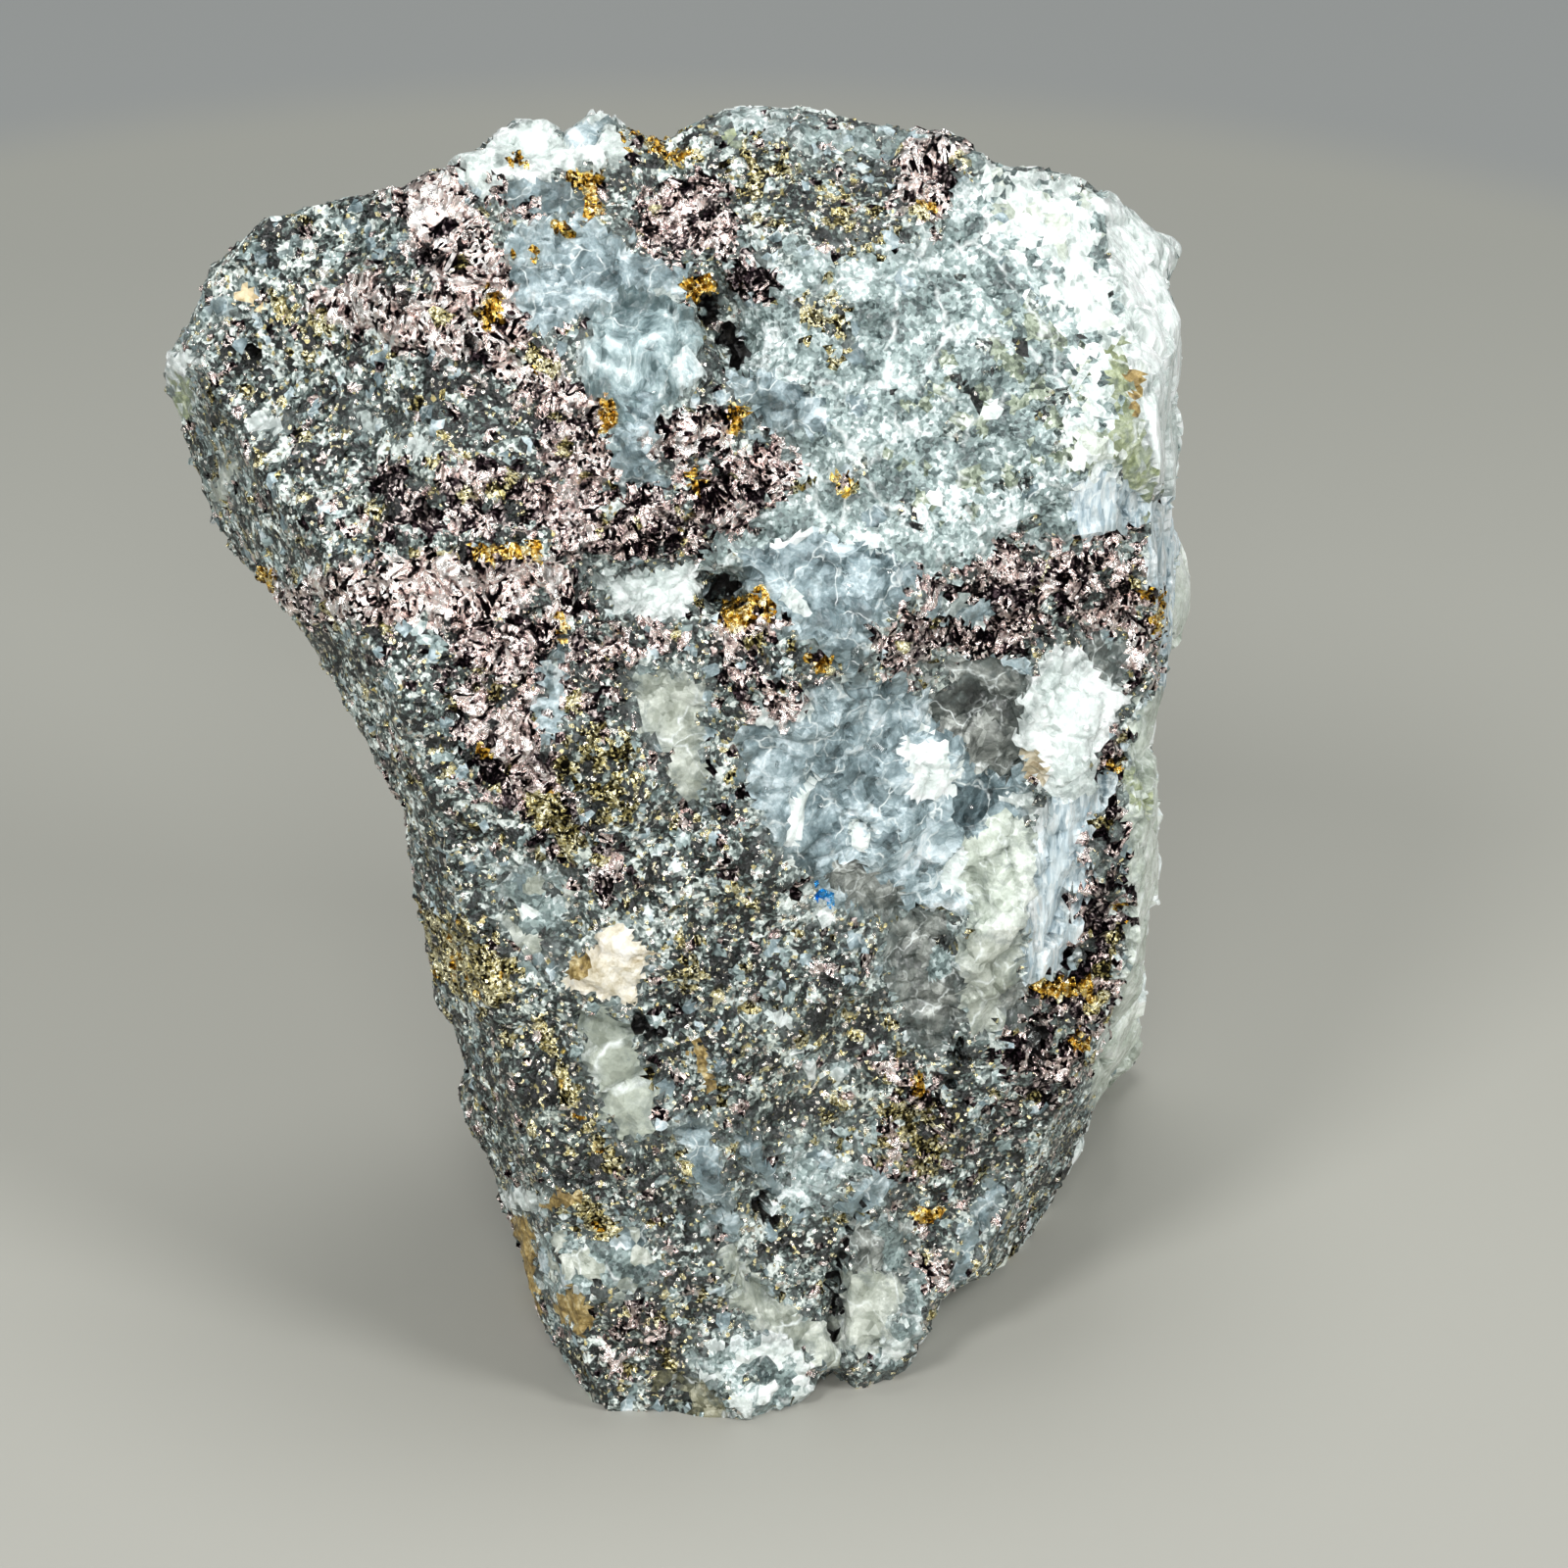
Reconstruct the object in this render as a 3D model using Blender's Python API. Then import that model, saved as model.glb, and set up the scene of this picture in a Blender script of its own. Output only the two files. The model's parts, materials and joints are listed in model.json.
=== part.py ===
"""A hand specimen of telluride ore: one broken piece of vein quartz with coloradoite, hessite and gold.

The stone stands on its narrow trimmed foot, with its rich face towards -Y. It is carved the way it was broken:
a block with the stone's own outline is split along fracture faces, then worn, pitted and roughened.
Metres, +Z up. The origin is under the middle of the stone, on the surface that it stands on.
"""

import math

import bmesh
import bpy
from mathutils import Vector, noise

MM = 0.001

# The outline is drawn as it is seen from the front and above, from this far away.
SIGHT_ELEVATION = math.radians(30)
SIGHT_DISTANCE = 200 * MM
SIGHT_CENTRE = (2.1, 17.2)
OUTLINE_DEPTH = 5.0
BLOCK_NEAR = 24.0
BLOCK_FAR = -30.0

ACROSS = Vector((1, 0, 0))
UP_THE_FACE = Vector((0, math.sin(SIGHT_ELEVATION), math.cos(SIGHT_ELEVATION)))
TOWARDS_EYE = Vector((0, -math.cos(SIGHT_ELEVATION), math.sin(SIGHT_ELEVATION)))

# Outline of the stone in mm, right of and above its front toe, from the left shoulder over the top.
OUTLINE = [
    (-14.7, 27.2), (-14.5, 28.0), (-14.0, 28.9), (-13.4, 30.0), (-13.2, 30.8), (-12.2, 31.5), (-11.8, 32.1),
    (-10.8, 32.4), (-9.4, 32.8), (-8.2, 32.9), (-7.4, 33.3), (-6.8, 33.4), (-6.4, 33.8), (-5.7, 34.4), (-5.1, 34.8),
    (-4.2, 34.9), (-3.9, 34.3), (-3.5, 34.3), (-3.1, 34.9), (-2.7, 35.0), (-2.2, 34.6), (-1.6, 34.2), (-1.3, 34.0),
    (-0.7, 34.5), (0.7, 35.1), (2.1, 35.1), (3.4, 34.9), (4.7, 34.7), (6.0, 34.5), (6.8, 34.2), (7.3, 33.8),
    (7.6, 33.5), (8.9, 33.5), (9.8, 33.3), (10.4, 32.8), (11.2, 32.5), (11.7, 31.8), (12.4, 31.6), (12.5, 31.1),
    (12.2, 30.3), (12.6, 29.5), (12.7, 28.3), (12.8, 26.2), (12.6, 25.2), (12.4, 24.3), (12.7, 23.6), (12.7, 22.2),
    (12.5, 21.0), (12.2, 20.7), (12.1, 19.8), (11.9, 18.6), (12.0, 16.6), (12.0, 15.3), (12.1, 13.9), (11.8, 12.6),
    (11.5, 11.2), (11.4, 9.8), (10.8, 9.3), (10.3, 8.6), (10.1, 7.4), (9.5, 6.9), (9.4, 5.8), (8.6, 4.9), (7.3, 4.1),
    (6.2, 3.6), (5.9, 2.7), (5.2, 1.5), (4.1, 1.3), (3.6, 1.9), (3.0, 1.8), (2.7, 1.1), (1.5, 0.5), (0.9, 0.3),
    (0.6, 0.7), (0.0, 0.0), (-0.5, 0.3), (-0.8, 0.7), (-1.3, 0.5), (-2.0, 0.7), (-3.0, 0.7), (-3.6, 1.7),
    (-4.4, 3.0), (-4.8, 4.2), (-5.0, 5.5), (-5.4, 7.3), (-6.1, 8.1), (-6.3, 8.7), (-6.2, 9.5), (-6.6, 10.8),
    (-7.2, 11.8), (-7.5, 12.8), (-7.7, 14.0), (-7.9, 15.6), (-8.0, 16.6), (-8.6, 17.5), (-9.2, 18.6), (-9.9, 19.9),
    (-10.8, 21.1), (-11.2, 22.0), (-12.2, 22.8), (-12.9, 23.5), (-13.4, 24.6), (-14.3, 25.6),
]

# Fracture faces: a point on each, in mm from the front toe, and the way that it faces.
FRACTURES = [
    ("front, foot", (0.0, 0.0, 3.0), (-0.05, -0.99, 0.10)),
    ("front, middle", (0.0, 1.4, 15.0), (0.05, -0.975, 0.20)),
    ("front, knee", (0.0, 3.6, 23.0), (0.0, -0.85, 0.53)),
    ("front, slope", (0.0, 7.5, 28.8), (0.04, -0.68, 0.73)),
    ("front, brow", (0.0, 13.0, 33.0), (0.0, -0.55, 0.83)),
    ("left cheek", (-14.9, 9.6, 25.5), (-0.42, -0.72, 0.55)),
    ("left heel", (-4.7, 2.6, 2.0), (-0.85, -0.50, -0.15)),
    ("left underside", (-14.9, 11.8, 24.5), (-0.78, 0.50, -0.38)),
    ("right flank", (11.3, 3.0, 19.0), (0.985, -0.17, 0.0)),
    ("right shoulder", (10.5, 10.1, 30.7), (0.73, -0.30, 0.61)),
    ("right foot", (6.9, 3.6, 0.3), (0.86, -0.40, -0.31)),
    ("right toe", (3.4, 1.1, 2.0), (0.35, -0.93, 0.08)),
    ("back", (0.0, 19.6, 9.0), (0.10, 0.97, 0.16)),
    ("back, upper", (0.0, 18.8, 27.0), (-0.12, 0.82, 0.56)),
    ("back, left", (-14.7, 12.8, 25.0), (-0.50, 0.82, 0.28)),
    ("back, left foot", (-3.0, 17.5, 6.0), (-0.42, 0.90, -0.05)),
    ("back, right", (11.5, 17.8, 16.0), (0.62, 0.78, 0.04)),
    ("back, heel", (6.0, 19.2, 2.5), (0.15, 0.86, -0.48)),
    ("foot, rough", (0.0, 0.0, -1.2), (0.0, 0.0, -1.0)),
]
GROUND_FOOT = 0.0

# Bumps and hollows of the rich face: how far right and up, half widths, turn in degrees, and height, all in mm.
RELIEF = [
    ("open vug", (0.5, 22.3), (0.75, 0.5), 15, -2.2),
    ("upper vug", (0.55, 29.4), (0.75, 1.5), 25, -1.5),
    ("quartz cluster", (-1.9, 28.4), (1.9, 2.4), 10, 0.75),
    ("quartz ledge under the band", (-1.6, 22.4), (2.0, 0.55), 12, -0.7),
    ("telluride band", (-1.2, 24.2), (3.8, 0.8), 12, 0.5),
    ("left band", (-8.3, 30.0), (3.2, 1.0), -14, 0.35),
    ("left middle hollow", (-11.0, 26.4), (3.2, 2.2), 0, -0.35),
    ("right band", (10.3, 22.4), (2.6, 1.0), 8, 0.4),
    ("glassy hollow", (6.8, 18.2), (2.0, 3.2), 20, -0.9),
    ("pale boss", (9.2, 18.6), (1.1, 2.2), 8, 0.7),
    ("pale rib", (7.7, 12.6), (0.9, 3.0), -12, 0.5),
    ("shadowed notch", (5.0, 11.8), (0.9, 2.2), -35, -0.7),
    ("cream patch", (-2.6, 12.4), (1.2, 0.9), -10, 0.4),
    ("smooth lozenge", (-2.2, 9.2), (0.8, 2.0), 20, 0.3),
    ("diagonal crack", (0.2, 5.2), (0.35, 2.9), 40, -0.6),
    ("foot block", (-2.8, 3.6), (1.9, 1.6), 15, 0.45),
    ("foot crack", (3.5, 3.4), (0.22, 1.5), -3, -0.7),
    ("foot plate", (4.6, 2.9), (0.9, 1.3), 10, 0.35),
    ("side groove", (9.4, 12.8), (0.35, 2.0), -12, -0.7),
    ("top quartz", (-3.8, 34.0), (1.8, 0.8), 5, 0.4),
    ("saddle", (-1.2, 33.8), (0.8, 0.6), 0, -0.4),
]

# Scars and knobs of the other faces: centre in mm from the front toe, radius, and height.
SCARS = [
    ("under the crown", (2.0, 18.8, 22.0), 5.0, -1.0),
    ("low on the back", (3.0, 20.0, 10.0), 6.0, -1.3),
    ("knob on the back", (6.5, 19.6, 19.0), 3.2, 1.0),
    ("left underside", (-10.5, 12.5, 18.0), 4.5, -1.1),
    ("behind the left tip", (-7.5, 17.0, 24.5), 3.6, -0.8),
    ("upper flank", (12.2, 11.0, 23.0), 4.5, -0.9),
    ("lower flank", (11.8, 12.0, 9.0), 4.5, -0.8),
    ("heel spall", (-1.0, 18.8, 1.5), 3.8, -1.5),
]

# Roughness of the broken surface, coarse to fine: size of the lumps and their height, in mm.
LUMPS = [(8.0, 0.9), (3.4, 0.45), (1.6, 0.3)]
FACETS = [(5.2, 0.9), (2.1, 0.5)]

WORKING_VOXEL = 0.34 * MM
FINISHED_TRIANGLES = 9000
# Lumps may not spill over the outline; further behind it than this, in mm, they are free again.
RIM_DEPTH = 9.0
RIM_HOLD = 0.85
INWARD_BIAS = 0.35

ORE_COLOUR = (0.20, 0.22, 0.22, 1.0)


def clear_scene():
    for obj in list(bpy.data.objects):
        bpy.data.objects.remove(obj)


def on_sight_line(right, up, depth):
    """The point seen at (right, up) on the outline's plane, at this depth towards the eye; all in mm."""
    spread = 1 + (OUTLINE_DEPTH - depth) * MM / SIGHT_DISTANCE
    across = SIGHT_CENTRE[0] + (right - SIGHT_CENTRE[0]) * spread
    raised = SIGHT_CENTRE[1] + (up - SIGHT_CENTRE[1]) * spread
    return (ACROSS * across + UP_THE_FACE * raised + TOWARDS_EYE * depth) * MM


def seen_at(point):
    """Where a point shows on the outline's plane: how far right and up of the toe, in mm."""
    depth = point.dot(TOWARDS_EYE) / MM
    spread = 1 + (OUTLINE_DEPTH - depth) * MM / SIGHT_DISTANCE
    right = SIGHT_CENTRE[0] + (point.dot(ACROSS) / MM - SIGHT_CENTRE[0]) / spread
    up = SIGHT_CENTRE[1] + (point.dot(UP_THE_FACE) / MM - SIGHT_CENTRE[1]) / spread
    return right, up


def outline_block():
    """A block whose sides follow the sight lines through the outline."""
    bm = bmesh.new()
    near = [bm.verts.new(on_sight_line(u, v, BLOCK_NEAR)) for u, v in OUTLINE]
    far = [bm.verts.new(on_sight_line(u, v, BLOCK_FAR)) for u, v in OUTLINE]
    bm.faces.new(near)
    bm.faces.new(far)
    for i in range(len(OUTLINE)):
        j = (i + 1) % len(OUTLINE)
        bm.faces.new((near[i], near[j], far[j], far[i]))
    bmesh.ops.recalc_face_normals(bm, faces=bm.faces)
    return bm


def split_along(bm, point, facing):
    """Takes away what lies in front of a fracture face, and closes the cut."""
    whole = bm.verts[:] + bm.edges[:] + bm.faces[:]
    cut = bmesh.ops.bisect_plane(
        bm, geom=whole, dist=1e-7, plane_co=Vector(point) * MM, plane_no=Vector(facing), clear_outer=True
    )
    rim = [part for part in cut["geom_cut"] if isinstance(part, bmesh.types.BMEdge)]
    bmesh.ops.holes_fill(bm, edges=rim)


def object_of(bm, name):
    mesh = bpy.data.meshes.new(name)
    bm.to_mesh(mesh)
    bm.free()
    obj = bpy.data.objects.new(name, mesh)
    bpy.context.scene.collection.objects.link(obj)
    return obj


def apply_modifier(obj, kind, **settings):
    """Adds a modifier, and keeps the mesh that it makes."""
    modifier = obj.modifiers.new(kind.title(), kind)
    for setting, value in settings.items():
        setattr(modifier, setting, value)
    graph = bpy.context.evaluated_depsgraph_get()
    shaped = bpy.data.meshes.new_from_object(obj.evaluated_get(graph))
    obj.modifiers.clear()
    obj.data = shaped


def relief_at(right, up):
    """How far the rich face stands proud at this place, in mm."""
    height = 0.0
    for _, centre, (wide, tall), turn, rise in RELIEF:
        c, s = math.cos(math.radians(turn)), math.sin(math.radians(turn))
        x, y = right - centre[0], up - centre[1]
        along, across = (x * c + y * s) / wide, (y * c - x * s) / tall
        height += rise * math.exp(-((along * along + across * across) ** 1.5))
    return height


def lumps_at(place):
    """Height of the broken surface's lumps at a place given in mm."""
    height = 0.0
    for size, rise in LUMPS:
        height += rise * noise.noise(place / size)
    for size, rise in FACETS:
        near, _ = noise.voronoi(place / size)
        height += rise * (0.45 - near[0])
    return height


def scars_at(place):
    """Height of the scars and knobs at a place given in mm."""
    height = 0.0
    for _, centre, radius, rise in SCARS:
        far = (place - Vector(centre)).length / radius
        height += rise * math.exp(-(far**3))
    return height


def front_depth(right, up):
    """How near to the eye the front fracture faces lie on this sight line, in mm."""
    on_line = ACROSS * right + UP_THE_FACE * up
    depths = []
    for _, point, facing in FRACTURES:
        towards = Vector(facing).dot(TOWARDS_EYE)
        if towards > 0.05:
            depths.append(Vector(facing).dot(Vector(point) - on_line) / towards)
    return min(depths)


def freedom_behind(right, up, depth):
    """0 on the front faces, rising to 1 well behind them."""
    t = min(max((front_depth(right, up) - depth) / RIM_DEPTH, 0.0), 1.0)
    return t * t * (3 - 2 * t)


def roughen(obj):
    mesh = obj.data
    moved = []
    for vertex in mesh.vertices:
        place, normal = vertex.co / MM, vertex.normal.copy()
        right, up = seen_at(vertex.co)
        free = freedom_behind(right, up, place.dot(TOWARDS_EYE))
        facing_eye = normal.dot(TOWARDS_EYE)
        inward = INWARD_BIAS * free * math.sqrt(max(0.0, 1 - facing_eye * facing_eye))
        shift = normal * (lumps_at(place) + scars_at(place) - inward)
        in_depth = TOWARDS_EYE * shift.dot(TOWARDS_EYE)
        shift = in_depth + (shift - in_depth) * (1 - RIM_HOLD * (1 - free))
        shift += TOWARDS_EYE * relief_at(right, up) * max(0.0, facing_eye) ** 0.5
        moved.append(vertex.co + shift * MM)
    for vertex, place in zip(mesh.vertices, moved):
        vertex.co = place


def trim_foot(obj):
    """Grinds the foot flat, so that the stone stands."""
    bm = bmesh.new()
    bm.from_mesh(obj.data)
    split_along(bm, (0, 0, GROUND_FOOT), (0, 0, -1))
    drop_crumbs(bm)
    bmesh.ops.triangulate(bm, faces=bm.faces)
    bm.to_mesh(obj.data)
    bm.free()


def drop_crumbs(bm):
    """Keeps the stone, and drops the crumbs that trimming its rough foot leaves."""
    unseen = set(bm.verts)
    pieces = []
    while unseen:
        reached = [unseen.pop()]
        for vertex in reached:
            for edge in vertex.link_edges:
                neighbour = edge.other_vert(vertex)
                if neighbour in unseen:
                    unseen.remove(neighbour)
                    reached.append(neighbour)
        pieces.append(reached)
    pieces.sort(key=len)
    for crumb in pieces[:-1]:
        bmesh.ops.delete(bm, geom=crumb, context="VERTS")


def centre_on_foot(mesh):
    """Puts the origin under the middle of the stone."""
    xs = [v.co.x for v in mesh.vertices]
    ys = [v.co.y for v in mesh.vertices]
    lowest = min(v.co.z for v in mesh.vertices)
    shift = Vector(((min(xs) + max(xs)) / 2, (min(ys) + max(ys)) / 2, lowest))
    for vertex in mesh.vertices:
        vertex.co -= shift


def ore_material():
    material = bpy.data.materials.new("telluride ore in quartz")
    material.use_nodes = True
    shader = material.node_tree.nodes["Principled BSDF"]
    shader.inputs["Base Color"].default_value = ORE_COLOUR
    shader.inputs["Roughness"].default_value = 0.45
    shader.inputs["Metallic"].default_value = 0.3
    return material


def make_specimen():
    bm = outline_block()
    for _, point, facing in FRACTURES:
        split_along(bm, point, facing)
    bmesh.ops.triangulate(bm, faces=bm.faces)
    stone = object_of(bm, "telluride_ore_specimen")
    apply_modifier(stone, "REMESH", mode="VOXEL", voxel_size=WORKING_VOXEL)
    roughen(stone)
    triangles = 2 * len(stone.data.polygons)
    apply_modifier(stone, "DECIMATE", ratio=FINISHED_TRIANGLES / triangles)
    trim_foot(stone)
    centre_on_foot(stone.data)
    stone.data.materials.append(ore_material())
    return stone


clear_scene()
make_specimen()
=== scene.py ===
import json
import math

import bmesh
import bpy
import numpy as np
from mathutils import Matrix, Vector, noise

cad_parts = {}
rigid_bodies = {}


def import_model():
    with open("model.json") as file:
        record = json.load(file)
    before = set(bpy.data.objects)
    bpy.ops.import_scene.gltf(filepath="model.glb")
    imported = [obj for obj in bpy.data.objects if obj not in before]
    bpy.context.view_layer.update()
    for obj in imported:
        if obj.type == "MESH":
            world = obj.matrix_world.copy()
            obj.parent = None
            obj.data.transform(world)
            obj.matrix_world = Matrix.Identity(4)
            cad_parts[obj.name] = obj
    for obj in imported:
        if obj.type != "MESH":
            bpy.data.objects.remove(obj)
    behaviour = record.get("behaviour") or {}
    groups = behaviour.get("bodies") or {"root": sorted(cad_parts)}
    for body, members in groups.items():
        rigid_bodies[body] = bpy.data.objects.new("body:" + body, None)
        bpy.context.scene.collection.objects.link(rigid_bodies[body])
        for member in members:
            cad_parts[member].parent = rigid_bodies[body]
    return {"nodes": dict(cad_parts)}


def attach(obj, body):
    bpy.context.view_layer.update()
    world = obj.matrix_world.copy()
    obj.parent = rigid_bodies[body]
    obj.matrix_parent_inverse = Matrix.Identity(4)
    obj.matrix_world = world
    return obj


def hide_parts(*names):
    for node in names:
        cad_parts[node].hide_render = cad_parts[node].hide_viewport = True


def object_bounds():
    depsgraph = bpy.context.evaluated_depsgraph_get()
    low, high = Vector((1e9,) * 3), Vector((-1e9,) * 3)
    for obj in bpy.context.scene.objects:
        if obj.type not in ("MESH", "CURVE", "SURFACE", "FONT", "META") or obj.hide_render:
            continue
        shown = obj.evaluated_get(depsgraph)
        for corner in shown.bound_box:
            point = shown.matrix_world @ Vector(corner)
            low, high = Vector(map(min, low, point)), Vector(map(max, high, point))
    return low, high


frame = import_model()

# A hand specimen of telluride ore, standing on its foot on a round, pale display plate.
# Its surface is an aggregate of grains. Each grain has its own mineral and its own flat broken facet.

MM = 0.001
MICRONS_IN_MM = 1000
STONE = "telluride_ore_specimen"
CAD_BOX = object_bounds()

# The photograph is taken from in front, 30 degrees above the table, and its frame is 1600 pixels square.
# Lengths are in mm. The camera looks at a plane that lies SIGHT_DEPTH nearer to it than the stone's toe.
EYE_ELEVATION = math.radians(30)
EYE_DISTANCE = 200.0
PIXEL_MM = 0.026
FRAME_PIXELS = 1600
FRAME_CENTRE = (2.08, 17.16)
SIGHT_DEPTH = 5.0

# The stone's front toe, from which every place on its face is measured, in mm.
TOE = np.array([0.67, -9.76, 0.0])
ACROSS = np.array([1.0, 0.0, 0.0])
UP_THE_FACE = np.array([0.0, math.sin(EYE_ELEVATION), math.cos(EYE_ELEVATION)])
TOWARDS_EYE = np.array([0.0, -math.cos(EYE_ELEVATION), math.sin(EYE_ELEVATION)])

# Longest edges of the surface's triangles in mm, on the rich face and behind it. An edge is halved at most
# this often, and counts as one of the rich face when its normal leans this far towards the camera.
FRONT_EDGE = 0.225
BACK_EDGE = 0.42
EDGE_PASSES = 5
FRONT_LEAN = 0.05
# Corners of the solid that are this near, in metres, are one corner. Its edges are eased by this share.
WELD = 1e-7
EASING = 0.25

# Swells of the broken surface between the solid's own edges: how wide and how high each is, in mm.
# Where the surface turns its edge to the camera, this share of them is left, so the outline keeps its shape.
BROAD_LUMPS = [(2.6, 0.16), (1.1, 0.13), (0.5, 0.08)]
RIM_SHARE = 0.25
# A grain's facet rises or sinks by its tilt at most this far, in mm. Grains also stand at uneven heights:
# by this share of their size, and at most by this many mm.
TILT_REACH = 0.16
STEP_SHARE = 0.26
STEP_REACH = 0.16
# Between grains runs a groove: its depth as a share of the grain's size, and its width as a share too.
# The crevice band, whose colour is darkened as painted shade, is a little narrower.
GROOVE_DEPTH = 0.10
GROOVE_WIDTH = 0.10
CREVICE_WIDTH = 0.09
# The foot, which stays flat on the plate: the part below this height in mm that looks down this steeply.
FOOT_HEIGHT = 0.35
FOOT_NORMAL = -0.6

# Zone edges wander in waves: how long and how high each is, in mm. Zones change over grains this large.
WARP = [(1.7, 0.12), (0.6, 0.10)]
ZONE_GRAIN = 0.24
# The number of the first zone's draw, and how far, in mm, single grains stray across the edge of a zone.
ZONE_SEED = 20
RAGGED = {
    "telluride": 0.6, "silvery telluride": 0.5, "dark telluride": 0.7, "brassy ore": 0.8,
    "dark ore": 0.7, "native gold": 0.12, "granular quartz": 0.6, "green granular quartz": 0.8,
    "sugary quartz": 0.4, "speckled quartz": 0.3, "bright brass": 0.3, "frosted quartz": 1.1,
    "clear quartz": 0.2, "blue-grey quartz": 0.2,
}

# Kinds of rock that are dark as a whole. Where one meets a pale kind, the two fade into each other over
# about this many mm, and far from such a border the depth is set to a few times that.
DARK_ROCKS = {
    "ore", "dark ore", "telluride", "silvery telluride", "dark telluride", "brassy ore", "native gold",
    "bright brass", "olive rock", "iron stain", "vug", "tan grain", "blue film",
}
BORDER_MM = 0.27
FAR_FROM_BORDER = BORDER_MM * 4

# Behind the rich face, one noise follows the quartz vein, which thickens to the right, and another gives
# streaks, squeezed up and down so that they lie level. Each has a broad part and a share of finer bends.
VEIN_MM = 6.0
VEIN_BENDS_MM = 2.4
VEIN_BENDS = 0.5
VEIN_MIDDLE_MM = 1.0
VEIN_SPREAD_MM = 16
STREAK_MM = 3.4
STREAK_BENDS_MM = 0.9
STREAK_BENDS = 0.3
STREAK_ALONG = np.array([1.0, 1.0, 2.4])
# The vein begins where its noise passes this. A step of 1 in the noise is about this far in mm.
VEIN_EDGE = 0.12
VEIN_FADE = 4.0
# Each kind of rock there, and the ranges of the vein's noise and of the streaks' that it takes.
LEAST = -9.0
MOST = 9.0
BEHIND = [
    ("dark ore", (LEAST, -0.35), (LEAST, MOST)),
    ("granular quartz", (VEIN_EDGE, MOST), (LEAST, MOST)),
    ("sugary quartz", (0.38, MOST), (LEAST, MOST)),
    ("milky quartz", (0.62, MOST), (LEAST, MOST)),
    ("greenish quartz", (0.45, MOST), (0.2, MOST)),
    ("telluride", (LEAST, 0.2), (0.38, MOST)),
    ("brassy ore", (LEAST, 0.3), (LEAST, -0.52)),
    ("native gold", (LEAST, 0.3), (0.72, MOST)),
]
# The rich face ends where its normal leans this little towards the camera, in waves this long and high.
FACE_END = 0.02
FACE_END_MM = 1.2
FACE_END_WAVES = 0.1

# How strongly rock crystal absorbs light, per metre: it is clear, so hardly at all over a crystal's width.
CRYSTAL_ABSORPTION = 60.0
QUARTZ_IOR = 1.544
ORE_IOR = 1.55
# Healed cracks in quartz: the size and reach of their bends in mm, and their width and whiteness as shares.
CRACK_BEND_MM = 0.7
CRACK_BEND_REACH = 0.9
CRACK_WIDTH = 0.035
CRACK_WHITE = 0.85
# The crevice value at which the painted shade starts, and the border value at which a fade is full.
CREVICE_START = 0.15
BORDER_FULL = 0.6

# Rings of a broken crystal's outline, from end to end: height and width of each.
SHARD_RINGS = ((-0.5, 0.55), (-0.32, 1.0), (0.30, 0.95), (0.5, 0.5))
# Its corners sit unevenly: turned by up to this share of a side, and at least this far out, with a spread.
SHARD_TURN = 0.25
SHARD_NEAREST = 0.8
SHARD_SPREAD = 0.4
SHARD_SEED = 5
# The shapes to pick from: number of sides, length as a share of the width, and how far the ends lean.
SHAPES = {
    "block": [(5, 0.8, 0.3), (6, 0.6, 0.25), (4, 0.9, 0.35), (5, 1.1, 0.2)],
    "plate": [(6, 0.35, 0.2), (5, 0.45, 0.25), (7, 0.3, 0.15)],
    "flake": [(6, 0.14, 0.15), (5, 0.18, 0.2), (7, 0.12, 0.1)],
    "blade": [(6, 1.5, 0.2), (6, 1.9, 0.15), (5, 1.2, 0.25)],
}
# What stands proud of the stone: each piece, its shapes, the mineral it grows on, how many there are per
# square mm, the smallest and the largest in mm, the seed of its growth, and how upright it stands.
CRYSTALS = [
    ("telluride_flakes", "flake", "bright_telluride", 9.0, (0.10, 0.30), 1, 0.0),
    ("gold_flakes", "plate", "native_gold", 16.0, (0.08, 0.28), 3, 0.3),
    ("sulphide_grains", "block", "brassy_sulphide", 6.0, (0.06, 0.16), 4, 0.0),
    ("milky_quartz_grains", "block", "milky_quartz", 1.0, (0.08, 0.26), 5, 0.0),
    ("sugary_quartz_grains", "block", "sugary_quartz", 2.2, (0.08, 0.26), 6, 0.0),
    ("ore_grains", "block", "granular_ore", 2.4, (0.06, 0.22), 7, 0.0),
    ("rock_crystals", "blade", "pale_quartz", 1.6, (0.10, 0.28), 8, 0.4),
    ("vug_blades", "blade", "vug_lining", 3.0, (0.12, 0.34), 9, 0.3),
]
# They lie turned any way, and most are small: their sizes go by a random number to this power.
ANY_TURN = (3.14, 3.14, 3.14)
SMALL_BIAS = 2.2
TONE_SEED = 77

# Numbers that only scramble: a step in space for each seed of a noise, and those that make random_of random.
NOISE_STEP = (17.3, 5.1, 11.7)
SCRAMBLE = np.array([127.1, 311.7, 74.7])
SCRAMBLE_STEP = 53.9
SCRAMBLE_REACH = 43758.5453

# The round display plate under the stone, in mm; its rim shows soft. The backdrop reaches past the picture.
PLATE_CENTRE = (-2.0, 14.0, 0.0)
PLATE_RADIUS = 62.0
PLATE_RIM = 3.0
BACKDROP_REACH = 900

# The studio's soft boxes: place and width in mm, and power in watts. All aim at the middle of the stone.
SOFT_BOXES = {
    "key_left": ((-120, -200, 290), 95, 0.54),
    "key_right": ((210, -140, 230), 95, 0.48),
    "over_camera": ((10, -260, 220), 80, 0.24),
    "top": ((10, 60, 320), 140, 0.32),
    "low_front": ((-60, -260, 60), 80, 0.16),
}
STONE_MIDDLE = (0, 0, 16)
SKY_STRENGTH = 0.42

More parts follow.
